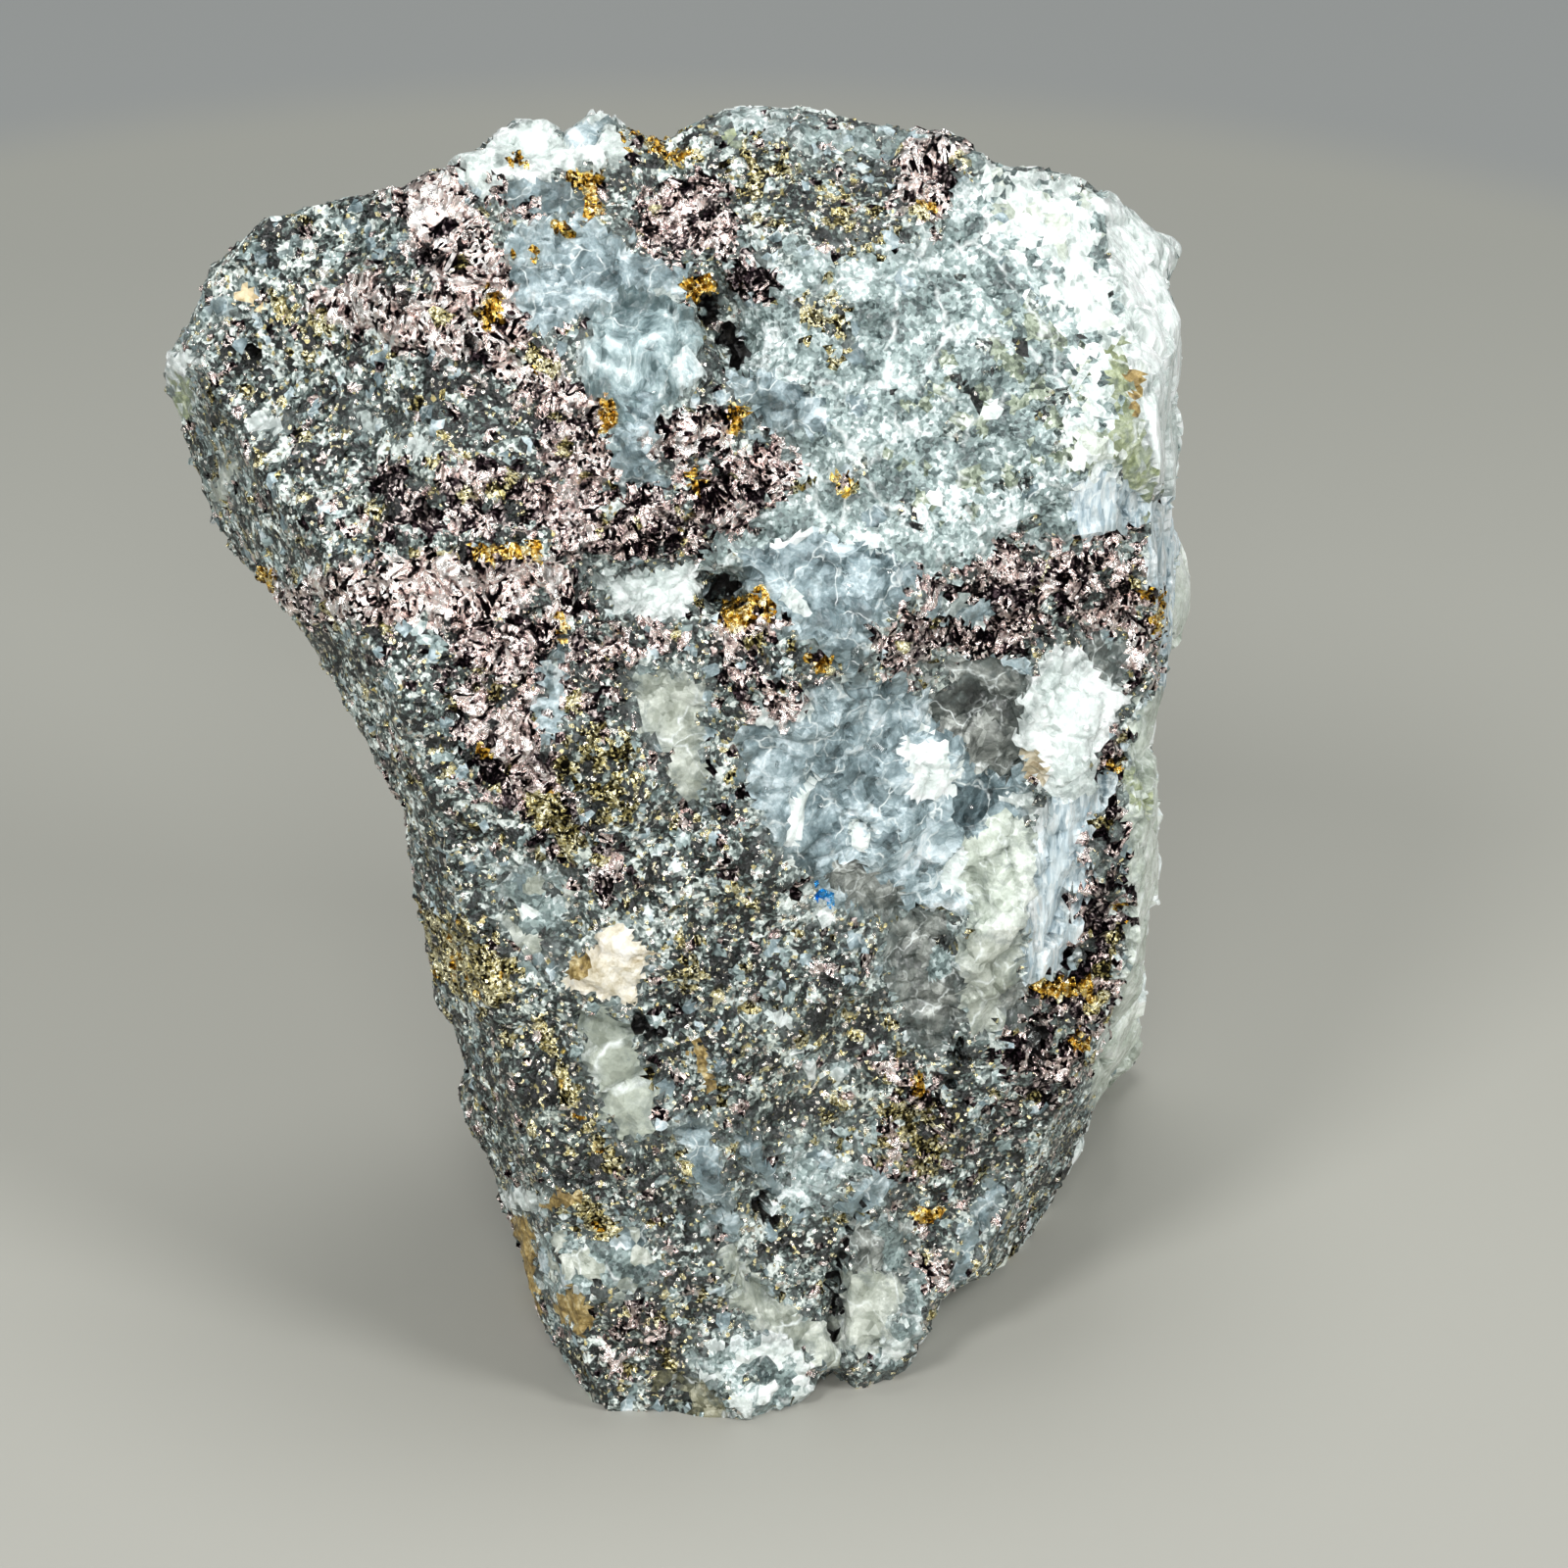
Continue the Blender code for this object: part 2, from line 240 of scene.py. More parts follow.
# What each kind of rock is made of: grain size and facet tilt in mm, how proud it stands, and its minerals.
ROCKS = {
    "ore": (0.32, 0.60, 0.0, {
        "granular_ore": 0.80, "pale_quartz": 0.05, "sugary_quartz": 0.05, "bright_telluride": 0.04,
        "dark_telluride": 0.02, "brassy_sulphide": 0.04,
    }),
    "dark ore": (0.34, 0.65, -0.05, {
        "dark_ore": 0.72, "granular_ore": 0.14, "sugary_quartz": 0.04, "bright_telluride": 0.04,
        "brassy_sulphide": 0.06,
    }),
    "telluride": (0.46, 0.95, 0.09, {
        "bright_telluride": 0.84, "dark_telluride": 0.08, "granular_ore": 0.05, "brassy_sulphide": 0.03,
    }),
    "silvery telluride": (0.50, 0.95, 0.10, {
        "silvery_telluride": 0.88, "dark_telluride": 0.06, "brassy_sulphide": 0.04, "granular_ore": 0.02,
    }),
    "dark telluride": (0.44, 0.95, 0.04, {
        "bright_telluride": 0.38, "dark_telluride": 0.36, "dark_ore": 0.16, "brassy_sulphide": 0.10,
    }),
    "brassy ore": (0.30, 0.70, 0.03, {"brassy_sulphide": 0.68, "dark_ore": 0.20, "granular_ore": 0.12}),
    "native gold": (0.30, 0.85, 0.10, {"native_gold": 0.84, "brassy_sulphide": 0.06, "dark_telluride": 0.10}),
    "granular quartz": (0.45, 0.36, 0.0, {
        "sugary_quartz": 0.92, "pale_quartz": 0.05, "brassy_sulphide": 0.01, "granular_ore": 0.02,
    }),
    "sugary quartz": (0.55, 0.36, 0.03, {"milky_quartz": 0.30, "sugary_quartz": 0.66, "pale_quartz": 0.04}),
    "frosted quartz": (0.50, 0.36, 0.02, {"fibrous_quartz": 0.86, "green_quartz": 0.14}),
    "milky quartz": (1.30, 0.34, 0.07, {"milky_quartz": 1.0}),
    "blue-grey quartz": (1.20, 0.42, 0.03, {"pale_quartz": 0.92, "milky_quartz": 0.08}),
    "clear quartz": (0.90, 0.60, 0.05, {"pale_quartz": 0.95, "milky_quartz": 0.05}),
    "smoky glass": (1.30, 0.45, -0.08, {"smoky_quartz": 1.0}),
    "smoky quartz": (0.80, 0.50, 0.0, {"smoky_quartz": 0.70, "sugary_quartz": 0.20, "dark_ore": 0.10}),
    "greenish quartz": (1.30, 0.32, 0.04, {"green_quartz": 1.0}),
    "flowing quartz": (1.50, 0.40, 0.12, {"flowing_quartz": 1.0}),
    "milky plates": (0.95, 0.75, 0.05, {"milky_quartz": 0.84, "pale_quartz": 0.16}),
    "green granular quartz": (0.42, 0.40, 0.0, {
        "sugary_quartz": 0.62, "green_sugar": 0.30, "granular_ore": 0.06, "milky_quartz": 0.02,
    }),
    "speckled quartz": (0.50, 0.45, 0.02, {
        "milky_quartz": 0.05, "cream_quartz": 0.18, "sugary_quartz": 0.57, "pale_quartz": 0.10,
        "dark_ore": 0.10,
    }),
    "green spar": (0.26, 0.40, 0.0, {"green_spar": 0.80, "green_quartz": 0.20}),
    "green flank quartz": (2.20, 0.25, 0.02, {"green_quartz": 1.0}),
    "smooth green quartz": (3.00, 0.08, 0.03, {"lozenge_quartz": 1.0}),
    "cream quartz": (1.40, 0.28, 0.04, {"cream_quartz": 1.0}),
    "foot plate": (2.40, 0.15, 0.08, {"cream_quartz": 0.7, "pale_quartz": 0.3}),
    "blade quartz": (2.00, 0.25, 0.10, {"pale_quartz": 1.0}),
    "olive rock": (0.70, 0.70, -0.05, {"olive_rock": 0.8, "dark_ore": 0.2}),
    "tan grain": (0.80, 0.20, 0.06, {"tan_spar": 1.0}),
    "bright brass": (0.28, 0.70, 0.05, {"brassy_sulphide": 0.88, "native_gold": 0.04, "dark_ore": 0.08}),
    "blue film": (0.50, 0.30, 0.02, {"blue_film": 1.0}),
    "fibrous quartz": (1.10, 0.22, 0.06, {"fibrous_quartz": 1.0}),
    "fibrous blue quartz": (0.80, 0.40, 0.02, {"fibrous_blue_quartz": 1.0}),
    "cream spar": (1.40, 0.18, 0.06, {"cream_spar": 1.0}),
    "iron stain": (0.28, 0.35, 0.0, {"rusty_stain": 1.0}),
    "white boss": (1.20, 0.32, 0.06, {"milky_quartz": 0.88, "cream_quartz": 0.12}),
    "speckled toe": (0.45, 0.55, 0.10, {"milky_quartz": 0.42, "sugary_quartz": 0.50, "dark_ore": 0.08}),
    # The vug's near-black lining is painted shade inside the hollow.
    "vug": (0.40, 1.00, -0.45, {"vug_lining": 1.0}),
}

# Kinds of rock whose grains are drawn out up the stone, and by how much less they change that way.
DRAWN_OUT = {"fibrous quartz": 0.2, "fibrous blue quartz": 0.2, "flowing quartz": 0.5}

# Where each kind of rock lies on the rich face: an area's corners, or a line and half its width.
# Places are in mm, right of the toe and up the face. Later ones lie over earlier ones.
AREA = None
ZONES = [
    ("pale mass of the upper right", "granular quartz", AREA, [
        (0.83, 30.99), (2.08, 31.15), (3.38, 31.15), (4.16, 31.59), (5.46, 31.46), (7.28, 33.41),
        (10.4, 32.89), (11.18, 30.16), (11.31, 24.44), (9.88, 23.4), (7.8, 23.5), (6.24, 22.62),
        (4.68, 21.32), (3.12, 20.8), (2.08, 21.32), (1.04, 22.36), (0.0, 23.14), (0.39, 24.96),
        (1.82, 25.74), (2.08, 26.78), (1.04, 27.56), (0.73, 29.12)
    ]),
    ("greener part of it", "green granular quartz", AREA, [
        (6.89, 29.12), (8.84, 30.16), (10.14, 28.86), (10.4, 25.74), (9.88, 24.96), (7.8, 24.96),
        (6.5, 23.92), (4.68, 24.96), (5.46, 27.04)
    ]),
    ("whiter part of it", "frosted quartz", AREA, [
        (7.49, 33.49), (9.78, 33.23), (10.35, 32.81), (10.66, 31.2), (10.97, 29.25), (10.19, 28.99),
        (9.75, 29.64), (8.84, 31.15), (7.67, 31.93)
    ]),
    ("bluish lower part of it", "clear quartz", AREA, [
        (1.04, 23.4), (2.86, 23.79), (4.68, 23.4), (5.72, 22.62), (4.68, 21.32), (3.9, 20.02),
        (2.08, 21.32), (1.3, 22.1)
    ]),
    ("foot of the pale mass", "fibrous blue quartz", AREA, [
        (9.75, 24.96), (10.4, 25.48), (11.44, 25.17), (11.75, 24.18), (11.18, 23.79), (10.14, 23.5),
        (9.62, 23.92)
    ]),
    ("right shoulder", "fibrous quartz", AREA, [
        (10.35, 32.86), (11.52, 32.37), (12.06, 31.82), (13.26, 31.56), (13.39, 24.96), (12.38, 24.44),
        (11.91, 24.96), (11.49, 26.78), (11.18, 29.25), (10.66, 31.41)
    ]),
    ("pale strip beside the green band", "frosted quartz", AREA, [
        (10.1, 30.2), (10.75, 30.0), (10.8, 28.3), (10.75, 26.8), (10.9, 25.6), (10.0, 25.5), (9.85, 27.5)
    ]),
    ("green band of the shoulder", "green spar", AREA, [
        (10.72, 28.9), (11.12, 28.7), (11.38, 27.5), (11.64, 26.0), (11.88, 24.9), (11.9, 24.2),
        (11.6, 24.7), (11.1, 25.5), (10.75, 26.2), (10.7, 27.6)
    ]),
    ("green seam of the shoulder", "green spar", 0.15, [
        (10.98, 28.9), (11.3, 27.2), (11.62, 25.6), (11.96, 23.8)
    ]),
    ("white grains in the green band", "sugary quartz", 0.18, [(10.61, 27.77), (10.82, 27.09)]),
    ("orange streak of the shoulder", "iron stain", 0.1, [(11.36, 28.03), (11.52, 27.04)]),
    ("pale blue flank", "fibrous blue quartz", AREA, [
        (11.86, 24.83), (12.48, 24.44), (13.26, 23.4), (12.87, 19.24), (12.09, 19.76), (11.86, 21.32),
        (11.7, 23.4)
    ]),
    ("right flank", "green flank quartz", AREA, [
        (12.35, 23.4), (13.39, 23.4), (13.13, 14.56), (12.74, 8.58), (10.14, 8.58), (10.45, 10.66),
        (11.18, 12.48), (11.23, 14.56), (11.18, 18.2), (11.44, 19.24), (12.22, 19.76)
    ]),
    ("green stain of the flank", "green spar", 0.21, [(11.23, 17.42), (11.49, 16.51)]),
    ("grey veil above the cluster", "blue-grey quartz", AREA, [
        (-5.33, 31.77), (-4.16, 32.19), (-2.81, 32.03), (-1.56, 31.15), (-0.21, 30.99), (-0.52, 30.16),
        (-1.82, 30.16), (-3.12, 29.64), (-4.16, 28.99), (-5.2, 29.38), (-5.51, 30.68)
    ]),
    ("cluster left of the vug", "flowing quartz", AREA, [
        (-2.96, 29.69), (-2.08, 30.37), (-0.78, 30.03), (-0.21, 28.99), (0.05, 27.95), (-0.52, 27.56),
        (-1.35, 26.78), (-1.46, 25.74), (-2.08, 24.96), (-2.65, 25.22), (-2.86, 26.78), (-3.38, 28.08)
    ]),
    ("lower cluster", "clear quartz", AREA, [
        (-2.08, 27.04), (-1.46, 27.56), (-1.25, 25.74), (-0.78, 24.83), (-2.08, 24.7), (-2.55, 25.48)
    ]),
    ("white cap", "milky plates", AREA, [
        (-7.07, 33.38), (-6.55, 33.85), (-5.72, 34.32), (-5.02, 34.79), (-4.11, 34.89), (-3.87, 34.37),
        (-3.59, 34.48), (-3.33, 34.89), (-2.78, 35.0), (-2.34, 34.53), (-1.77, 34.16), (-2.08, 33.59),
        (-2.81, 33.38), (-3.38, 33.59), (-4.16, 33.33), (-4.68, 33.12), (-5.2, 33.02), (-5.72, 32.86),
        (-6.34, 32.55), (-6.71, 32.86)
    ]),
    ("grey quartz under the cap", "clear quartz", AREA, [
        (-5.2, 33.02), (-3.77, 33.33), (-3.33, 32.76), (-3.38, 32.19), (-4.68, 32.19), (-5.41, 32.6)
    ]),
    ("dark ore under the cap", "telluride", 0.23, [(-5.56, 33.02), (-5.15, 32.55), (-4.84, 32.34)]),
    ("crystals of the top", "sugary quartz", 0.31, [(0.83, 34.89), (1.82, 34.68)]),
    ("crystals of the top, right", "granular quartz", 0.36, [(2.86, 34.32), (4.68, 34.16)]),
    ("green speck of the top", "green spar", 0.13, [(0.62, 34.48), (0.65, 34.11)]),
    ("quartz cluster", "blue-grey quartz", AREA, [
        (0.83, 18.2), (1.82, 19.45), (3.07, 19.76), (4.16, 20.02), (5.72, 20.02), (7.28, 20.7),
        (8.53, 20.59), (8.58, 16.12), (7.28, 13.78), (4.68, 13.65), (3.38, 13.91), (2.08, 15.08),
        (1.43, 16.38)
    ]),
    ("bright mass in it", "clear quartz", AREA, [
        (3.69, 19.37), (4.81, 19.76), (5.98, 18.72), (6.76, 17.68), (6.63, 16.38), (5.46, 15.86),
        (4.16, 15.86), (3.38, 17.16)
    ]),
    ("bright crystals in it", "milky quartz", AREA, [
        (5.25, 18.15), (6.19, 18.41), (6.66, 17.42), (6.55, 16.74), (5.46, 16.8)
    ]),
    ("smoky glass of the cluster", "smoky glass", AREA, [
        (5.77, 20.38), (7.49, 20.59), (8.48, 20.02), (8.37, 18.2), (8.06, 17.16), (7.28, 17.42),
        (6.92, 18.46), (6.29, 18.59), (5.85, 19.45)
    ]),
    ("dark spot of the glass", "dark ore", 0.26, [(5.98, 20.12), (6.06, 19.86)]),
    ("smoky lower left of it", "smoky glass", 0.52, [(3.9, 14.56), (4.81, 13.91)]),
    ("smoky grains below it", "smoky quartz", AREA, [
        (4.81, 13.52), (6.24, 13.78), (6.76, 13.0), (6.89, 10.92), (6.24, 10.01), (5.33, 10.4),
        (4.81, 11.96)
    ]),
    ("greenish foot of the cluster", "greenish quartz", AREA, [
        (6.86, 15.55), (7.8, 16.38), (8.76, 15.86), (8.79, 13.78), (8.32, 13.0), (6.89, 13.0)
    ]),
    ("cream foot of the cluster", "cream quartz", AREA, [
        (6.66, 13.21), (8.42, 13.39), (8.32, 11.7), (7.8, 10.5), (7.44, 10.35), (6.86, 10.66)
    ]),
    ("streaked quartz beside it", "fibrous blue quartz", AREA, [
        (8.89, 16.85), (10.19, 17.16), (10.76, 18.59), (11.18, 18.2), (10.61, 16.38), (10.19, 14.56),
        (9.78, 12.61), (9.05, 11.7), (8.42, 10.4), (8.06, 9.52), (7.75, 9.62), (8.32, 11.96),
        (8.63, 13.78)
    ]),
    ("cream boss", "white boss", AREA, [
        (9.36, 20.8), (9.98, 20.7), (11.21, 19.55), (10.82, 18.59), (10.22, 16.95), (9.36, 16.69),
        (8.48, 17.37), (8.27, 18.59), (8.48, 19.94)
    ]),
    ("cream corner of the boss", "cream spar", 0.23, [(8.53, 17.94), (8.84, 17.37)]),
    ("grey knob above the boss", "smoky quartz", AREA, [
        (10.09, 21.01), (11.08, 20.93), (11.13, 19.76), (10.45, 20.02)
    ]),
    ("milky ledge", "milky quartz", AREA, [
        (-3.41, 22.93), (-2.08, 22.67), (-1.07, 22.78), (-0.26, 22.98), (-0.1, 22.36), (-0.16, 22.0),
        (-1.04, 21.58), (-2.03, 21.68), (-2.7, 22.2)
    ]),
    ("crystals right of the vug", "clear quartz", AREA, [
        (0.62, 28.18), (1.82, 28.08), (3.12, 27.35), (3.28, 26.26), (2.08, 26.52), (1.14, 26.78)
    ]),
    ("crystals round the open vug", "clear quartz", AREA, [
        (0.91, 23.4), (2.65, 23.4), (2.81, 22.36), (1.82, 22.05), (0.83, 22.36)
    ]),
    ("silver needles right of the band", "silvery telluride", 0.21, [(2.18, 25.79), (2.6, 25.06)]),
    ("beige quartz", "cream quartz", AREA, [
        (-1.82, 20.02), (-0.52, 20.18), (0.0, 19.76), (-0.1, 18.2), (0.0, 16.85), (-0.78, 16.69),
        (-0.88, 17.94), (-1.69, 18.46)
    ]),
    ("grey quartz of the column", "clear quartz", 0.39, [(-4.11, 20.12), (-4.16, 18.72)]),
    ("grey quartz low left", "speckled quartz", AREA, [
        (-5.56, 14.77), (-4.68, 14.92), (-3.74, 14.66), (-3.64, 13.52), (-4.26, 12.43), (-4.81, 12.61),
        (-5.41, 13.78)
    ]),
    ("dark ground of the foot", "dark ore", AREA, [
        (-6.24, 11.96), (-4.16, 11.18), (-2.08, 7.8), (-0.52, 7.54), (1.04, 10.4), (3.38, 11.96),
        (5.46, 10.66), (6.24, 7.28), (5.46, 5.2), (3.38, 6.76), (0.0, 7.8), (-0.52, 6.76), (1.3, 4.68),
        (-2.08, 5.72), (-3.12, 6.76), (-4.16, 6.5), (-5.72, 7.8)
    ]),
    ("dark ground of the left toe", "dark ore", AREA, [
        (-3.12, 4.03), (-0.78, 4.16), (-0.21, 2.86), (-0.47, 1.3), (-2.86, 1.17)
    ]),
    ("dark rock right of the toe", "smoky quartz", AREA, [
        (3.8, 5.46), (5.46, 5.56), (5.41, 4.16), (3.9, 4.0)
    ]),
    ("grey blade of the foot", "blade quartz", 0.39, [(-0.31, 8.01), (0.05, 6.76), (0.57, 5.46)]),
    ("second blade of the foot", "blade quartz", 0.34, [(3.9, 5.93), (4.81, 6.89)]),
    ("third blade of the foot", "blade quartz", 0.26, [(1.04, 7.8), (1.82, 6.45)]),
    ("grey rock between the blades", "granular quartz", AREA, [
        (2.08, 7.54), (4.42, 8.06), (4.16, 7.02), (2.86, 5.72), (2.08, 5.98)
    ]),
    ("lilac quartz of the foot", "cream quartz", 0.44, [(0.57, 4.55), (1.35, 3.25), (3.28, 2.24)]),
    ("blue-black spot of the foot", "dark ore", 0.23, [(0.16, 4.89), (0.52, 4.06)]),
    ("pale block of the left foot", "speckled quartz", AREA, [
        (-4.52, 5.12), (-2.65, 5.2), (-1.69, 5.46), (-1.14, 4.47), (-1.35, 3.72), (-2.99, 3.48),
        (-4.29, 3.72)
    ]),
    ("foot plate", "foot plate", AREA, [
        (3.69, 4.11), (4.81, 4.26), (5.25, 3.85), (4.99, 2.86), (4.42, 2.08), (3.69, 2.21),
        (3.54, 3.12)
    ]),
    ("pale rim right of the foot plate", "speckled toe", 0.31, [(5.46, 3.74), (5.33, 2.86), (4.68, 1.87)]),
    ("pale sliver low right", "blade quartz", 0.21, [(7.64, 6.34), (7.07, 5.15), (6.6, 4.21)]),
    ("white toe", "speckled toe", AREA, [
        (-0.31, 1.64), (-0.05, 2.39), (1.27, 2.5), (2.18, 2.44), (2.96, 1.64), (2.6, 0.91),
        (1.27, 0.26), (0.83, 0.52), (0.18, 1.04)
    ]),
    ("olive rock under the toe", "olive rock", AREA, [
        (-1.46, 1.46), (-0.26, 1.56), (0.52, 0.78), (0.83, 0.13), (-0.26, -0.26), (-1.3, 0.78)
    ]),
    ("lozenge", "smooth green quartz", AREA, [
        (-3.41, 11.02), (-2.7, 11.18), (-2.0, 10.5), (-1.4, 8.97), (-1.46, 7.85), (-2.08, 7.59),
        (-2.55, 7.85), (-3.15, 9.67)
    ]),
    ("cream patch", "cream spar", AREA, [
        (-3.87, 12.01), (-3.48, 12.64), (-2.86, 12.84), (-2.76, 13.42), (-2.08, 13.36), (-1.53, 12.64),
        (-1.53, 12.17), (-2.08, 11.34), (-2.7, 11.54), (-3.64, 11.78)
    ]),
    ("rusty side of the cream patch", "iron stain", 0.23, [(-3.54, 12.22), (-3.12, 12.53)]),
    ("cream stripe", "iron stain", 0.18, [(-4.47, 6.08), (-3.28, 6.16)]),
    ("white end of the stripe", "milky quartz", 0.23, [(-5.1, 6.14), (-4.52, 6.19)]),
    ("ochre left edge", "iron stain", 0.23, [(-4.94, 5.51), (-4.73, 4.42), (-4.5, 3.17)]),
    ("orange spot of the toe", "iron stain", 0.34, [(-3.64, 3.38), (-3.33, 3.02)]),
    ("grey lump on the right", "smoky glass", 0.39, [(8.32, 11.49), (8.37, 10.97)]),
    ("white plate of the left tip", "milky quartz", 0.31, [(-14.61, 27.61), (-13.83, 28.39)]),
    ("pale spots of the left", "milky quartz", 0.21, [(-11.91, 26.73), (-11.7, 26.68)]),
    ("pale spot of the left", "milky quartz", 0.18, [(-11.44, 26.78), (-11.34, 26.62)]),
    ("pale spots of the left, inner", "milky quartz", 0.21, [(-9.02, 26.94), (-8.89, 26.83)]),
    ("pale spots of the left, low", "milky quartz", 0.21, [(-7.7, 26.21), (-7.54, 26.0)]),
    ("green plate of the left tip", "green spar", 0.23, [(-13.83, 27.77), (-13.88, 27.04)]),
    ("beige streak of the left tip", "cream quartz", 0.21, [(-12.64, 25.53), (-12.9, 24.75)]),
    ("tan streak of the left tip", "tan grain", 0.13, [(-12.27, 30.32), (-12.12, 30.0), (-11.96, 29.74)]),
    ("grey grain of the left tip", "clear quartz", 0.23, [(-13.16, 29.85), (-12.84, 29.9)]),
    ("brown streak of the foot", "iron stain", 0.16, [(-0.36, 10.14), (-0.16, 9.67), (0.05, 9.05)]),
    ("white grains low down", "milky quartz", 0.16, [(1.66, 11.02), (1.98, 10.89)]),
    ("white grain low down", "milky quartz", 0.16, [(2.83, 9.46), (2.86, 9.39)]),
    ("white grain low down, right", "milky quartz", 0.13, [(3.48, 9.49), (3.51, 9.44)]),
    ("dark right edge", "dark telluride", AREA, [
        (10.19, 16.51), (11.1, 16.64), (11.13, 13.78), (10.82, 12.35), (10.19, 9.88), (9.36, 8.58),
        (8.01, 8.58), (8.06, 10.4), (8.74, 11.18), (8.89, 11.96), (9.78, 12.35), (9.88, 13.78)
    ]),
    ("dark rib of the right edge", "dark telluride", 0.21, [(10.92, 18.41), (10.71, 17.42)]),
    ("dark telluride above the band", "dark telluride", AREA, [
        (-9.62, 24.96), (-8.32, 25.53), (-6.76, 25.74), (-5.2, 25.74), (-4.16, 25.22), (-4.16, 23.92),
        (-6.24, 23.79), (-7.8, 23.92), (-9.36, 24.18)
    ]),
    ("dark seam below the lozenge", "dark ore", 0.3, [(-2.6, 8.0), (-1.9, 7.1), (-0.9, 6.2), (0.3, 5.1)]),
    ("dark seam above the foot plate", "dark ore", 0.2, [(4.3, 9.8), (3.9, 8.2), (3.5, 6.6)]),
    ("telluride of the top left", "silvery telluride", 1.04, [(-7.49, 32.63), (-6.5, 31.2), (-5.72, 29.38)]),
    ("bright telluride lobe", "silvery telluride", AREA, [
        (-10.87, 30.0), (-10.14, 30.63), (-8.71, 30.68), (-7.8, 30.16), (-6.5, 30.16), (-5.46, 30.42),
        (-5.2, 29.38), (-5.07, 28.47), (-5.72, 27.95), (-6.76, 28.29), (-8.06, 28.55), (-9.1, 29.12),
        (-10.14, 29.25)
    ]),
    ("telluride left of the cluster", "silvery telluride", 0.78, [
        (-4.68, 27.95), (-3.51, 26.91), (-3.12, 25.48)
    ]),
    ("dark telluride of the cluster's edge", "dark telluride", 0.57, [(-4.16, 27.04), (-3.85, 26.0)]),
    ("telluride band", "telluride", AREA, [
        (-4.68, 25.22), (-3.12, 25.48), (-2.08, 24.96), (-0.78, 24.7), (0.0, 25.22), (0.52, 25.74),
        (1.82, 26.13), (1.98, 24.96), (1.3, 23.92), (0.0, 23.4), (-1.04, 23.14), (-2.6, 23.19),
        (-3.38, 23.4), (-4.16, 23.01), (-4.68, 23.4)
    ]),
    ("pink telluride band", "silvery telluride", AREA, [
        (-11.18, 22.36), (-9.62, 23.09), (-7.8, 23.14), (-6.24, 23.4), (-4.16, 23.4), (-3.38, 22.62),
        (-2.81, 22.1), (-2.6, 21.32), (-4.16, 21.32), (-6.24, 21.32), (-8.32, 21.32), (-10.14, 21.32),
        (-11.18, 21.71)
    ]),
    ("dark hollows of the band", "dark telluride", 0.42, [(-2.08, 24.18), (-0.52, 23.92)]),
    ("telluride column", "telluride", AREA, [
        (-6.5, 21.58), (-4.16, 21.58), (-4.26, 20.02), (-4.68, 19.24), (-4.26, 18.2), (-3.64, 17.16),
        (-3.51, 15.86), (-4.16, 15.34), (-4.94, 16.12), (-5.72, 17.68), (-6.29, 19.5)
    ]),
    ("dark hollows of the column", "dark telluride", AREA, [
        (-5.2, 21.71), (-4.26, 21.84), (-4.16, 21.06), (-4.68, 20.54), (-5.2, 21.06)
    ]),
    ("dark left side of the column", "dark telluride", 0.44, [
        (-6.5, 20.54), (-6.24, 18.72), (-5.72, 17.16)
    ]),
    ("telluride of the crown", "telluride", AREA, [
        (-1.77, 32.86), (-0.78, 33.33), (0.42, 33.38), (0.65, 32.37), (1.04, 31.72), (0.52, 31.15),
        (-0.52, 30.99), (-1.56, 31.25), (-1.82, 31.98)
    ]),
    ("dark spot of the crown", "dark telluride", 0.39, [(0.94, 30.58), (1.82, 30.58)]),
    ("telluride under the vug", "silvery telluride", 0.68, [(-0.78, 26.26), (0.05, 26.57)]),
    ("telluride mid column", "telluride", 0.44, [(-3.12, 20.59), (-1.82, 20.9), (-1.35, 21.01)]),
    ("dark telluride mid column", "dark telluride", 0.57, [(-3.48, 19.5), (-2.96, 19.89)]),
    ("telluride under the gold", "silvery telluride", 0.52, [(0.62, 21.11), (1.56, 21.27)]),
    ("telluride below it", "telluride", 0.44, [(0.83, 20.02), (1.82, 19.45), (2.24, 19.24)]),
    ("telluride of the right crown", "silvery telluride", AREA, [
        (4.89, 33.8), (5.59, 34.53), (6.29, 34.42), (6.89, 34.06), (6.63, 32.76), (6.37, 31.72),
        (5.72, 31.85), (5.07, 32.76)
    ]),
    ("right telluride band", "telluride", AREA, [
        (4.5, 21.01), (5.15, 21.79), (5.59, 22.57), (6.37, 22.62), (7.28, 22.93), (7.85, 23.71),
        (8.84, 23.4), (9.88, 23.35), (10.53, 23.61), (11.23, 24.13), (11.6, 23.14), (11.65, 21.32),
        (10.92, 21.01), (10.14, 21.11), (9.36, 21.19), (8.97, 20.93), (8.06, 20.67), (7.54, 20.33),
        (6.24, 20.67), (5.59, 20.02), (4.81, 20.23)
    ]),
    ("quartz lens in the band", "clear quartz", 0.36, [(6.29, 21.89), (7.23, 21.84)]),
    ("dark hollows of the right band", "dark telluride", 0.36, [(7.54, 22.36), (8.84, 22.62)]),
    ("end of the right band", "silvery telluride", 0.36, [(11.49, 21.11), (11.44, 20.02)]),
    ("telluride low right", "telluride", 0.47, [(4.99, 9.36), (5.72, 8.89)]),
    ("telluride of the foot", "telluride", AREA, [
        (4.68, 8.32), (6.24, 8.58), (6.4, 7.02), (5.33, 6.6), (4.63, 7.02)
    ]),
    ("bright grain of the foot", "silvery telluride", 0.31, [(5.82, 4.47), (5.98, 4.06)]),
    ("telluride of the left toe", "telluride", 0.31, [(-2.08, 2.99), (-1.35, 2.7)]),
    ("telluride of the left toe, lower", "telluride", 0.31, [(-2.29, 1.82), (-1.82, 1.77)]),
    ("telluride low left", "dark telluride", 0.49, [(-3.07, 15.39), (-2.47, 14.43)]),
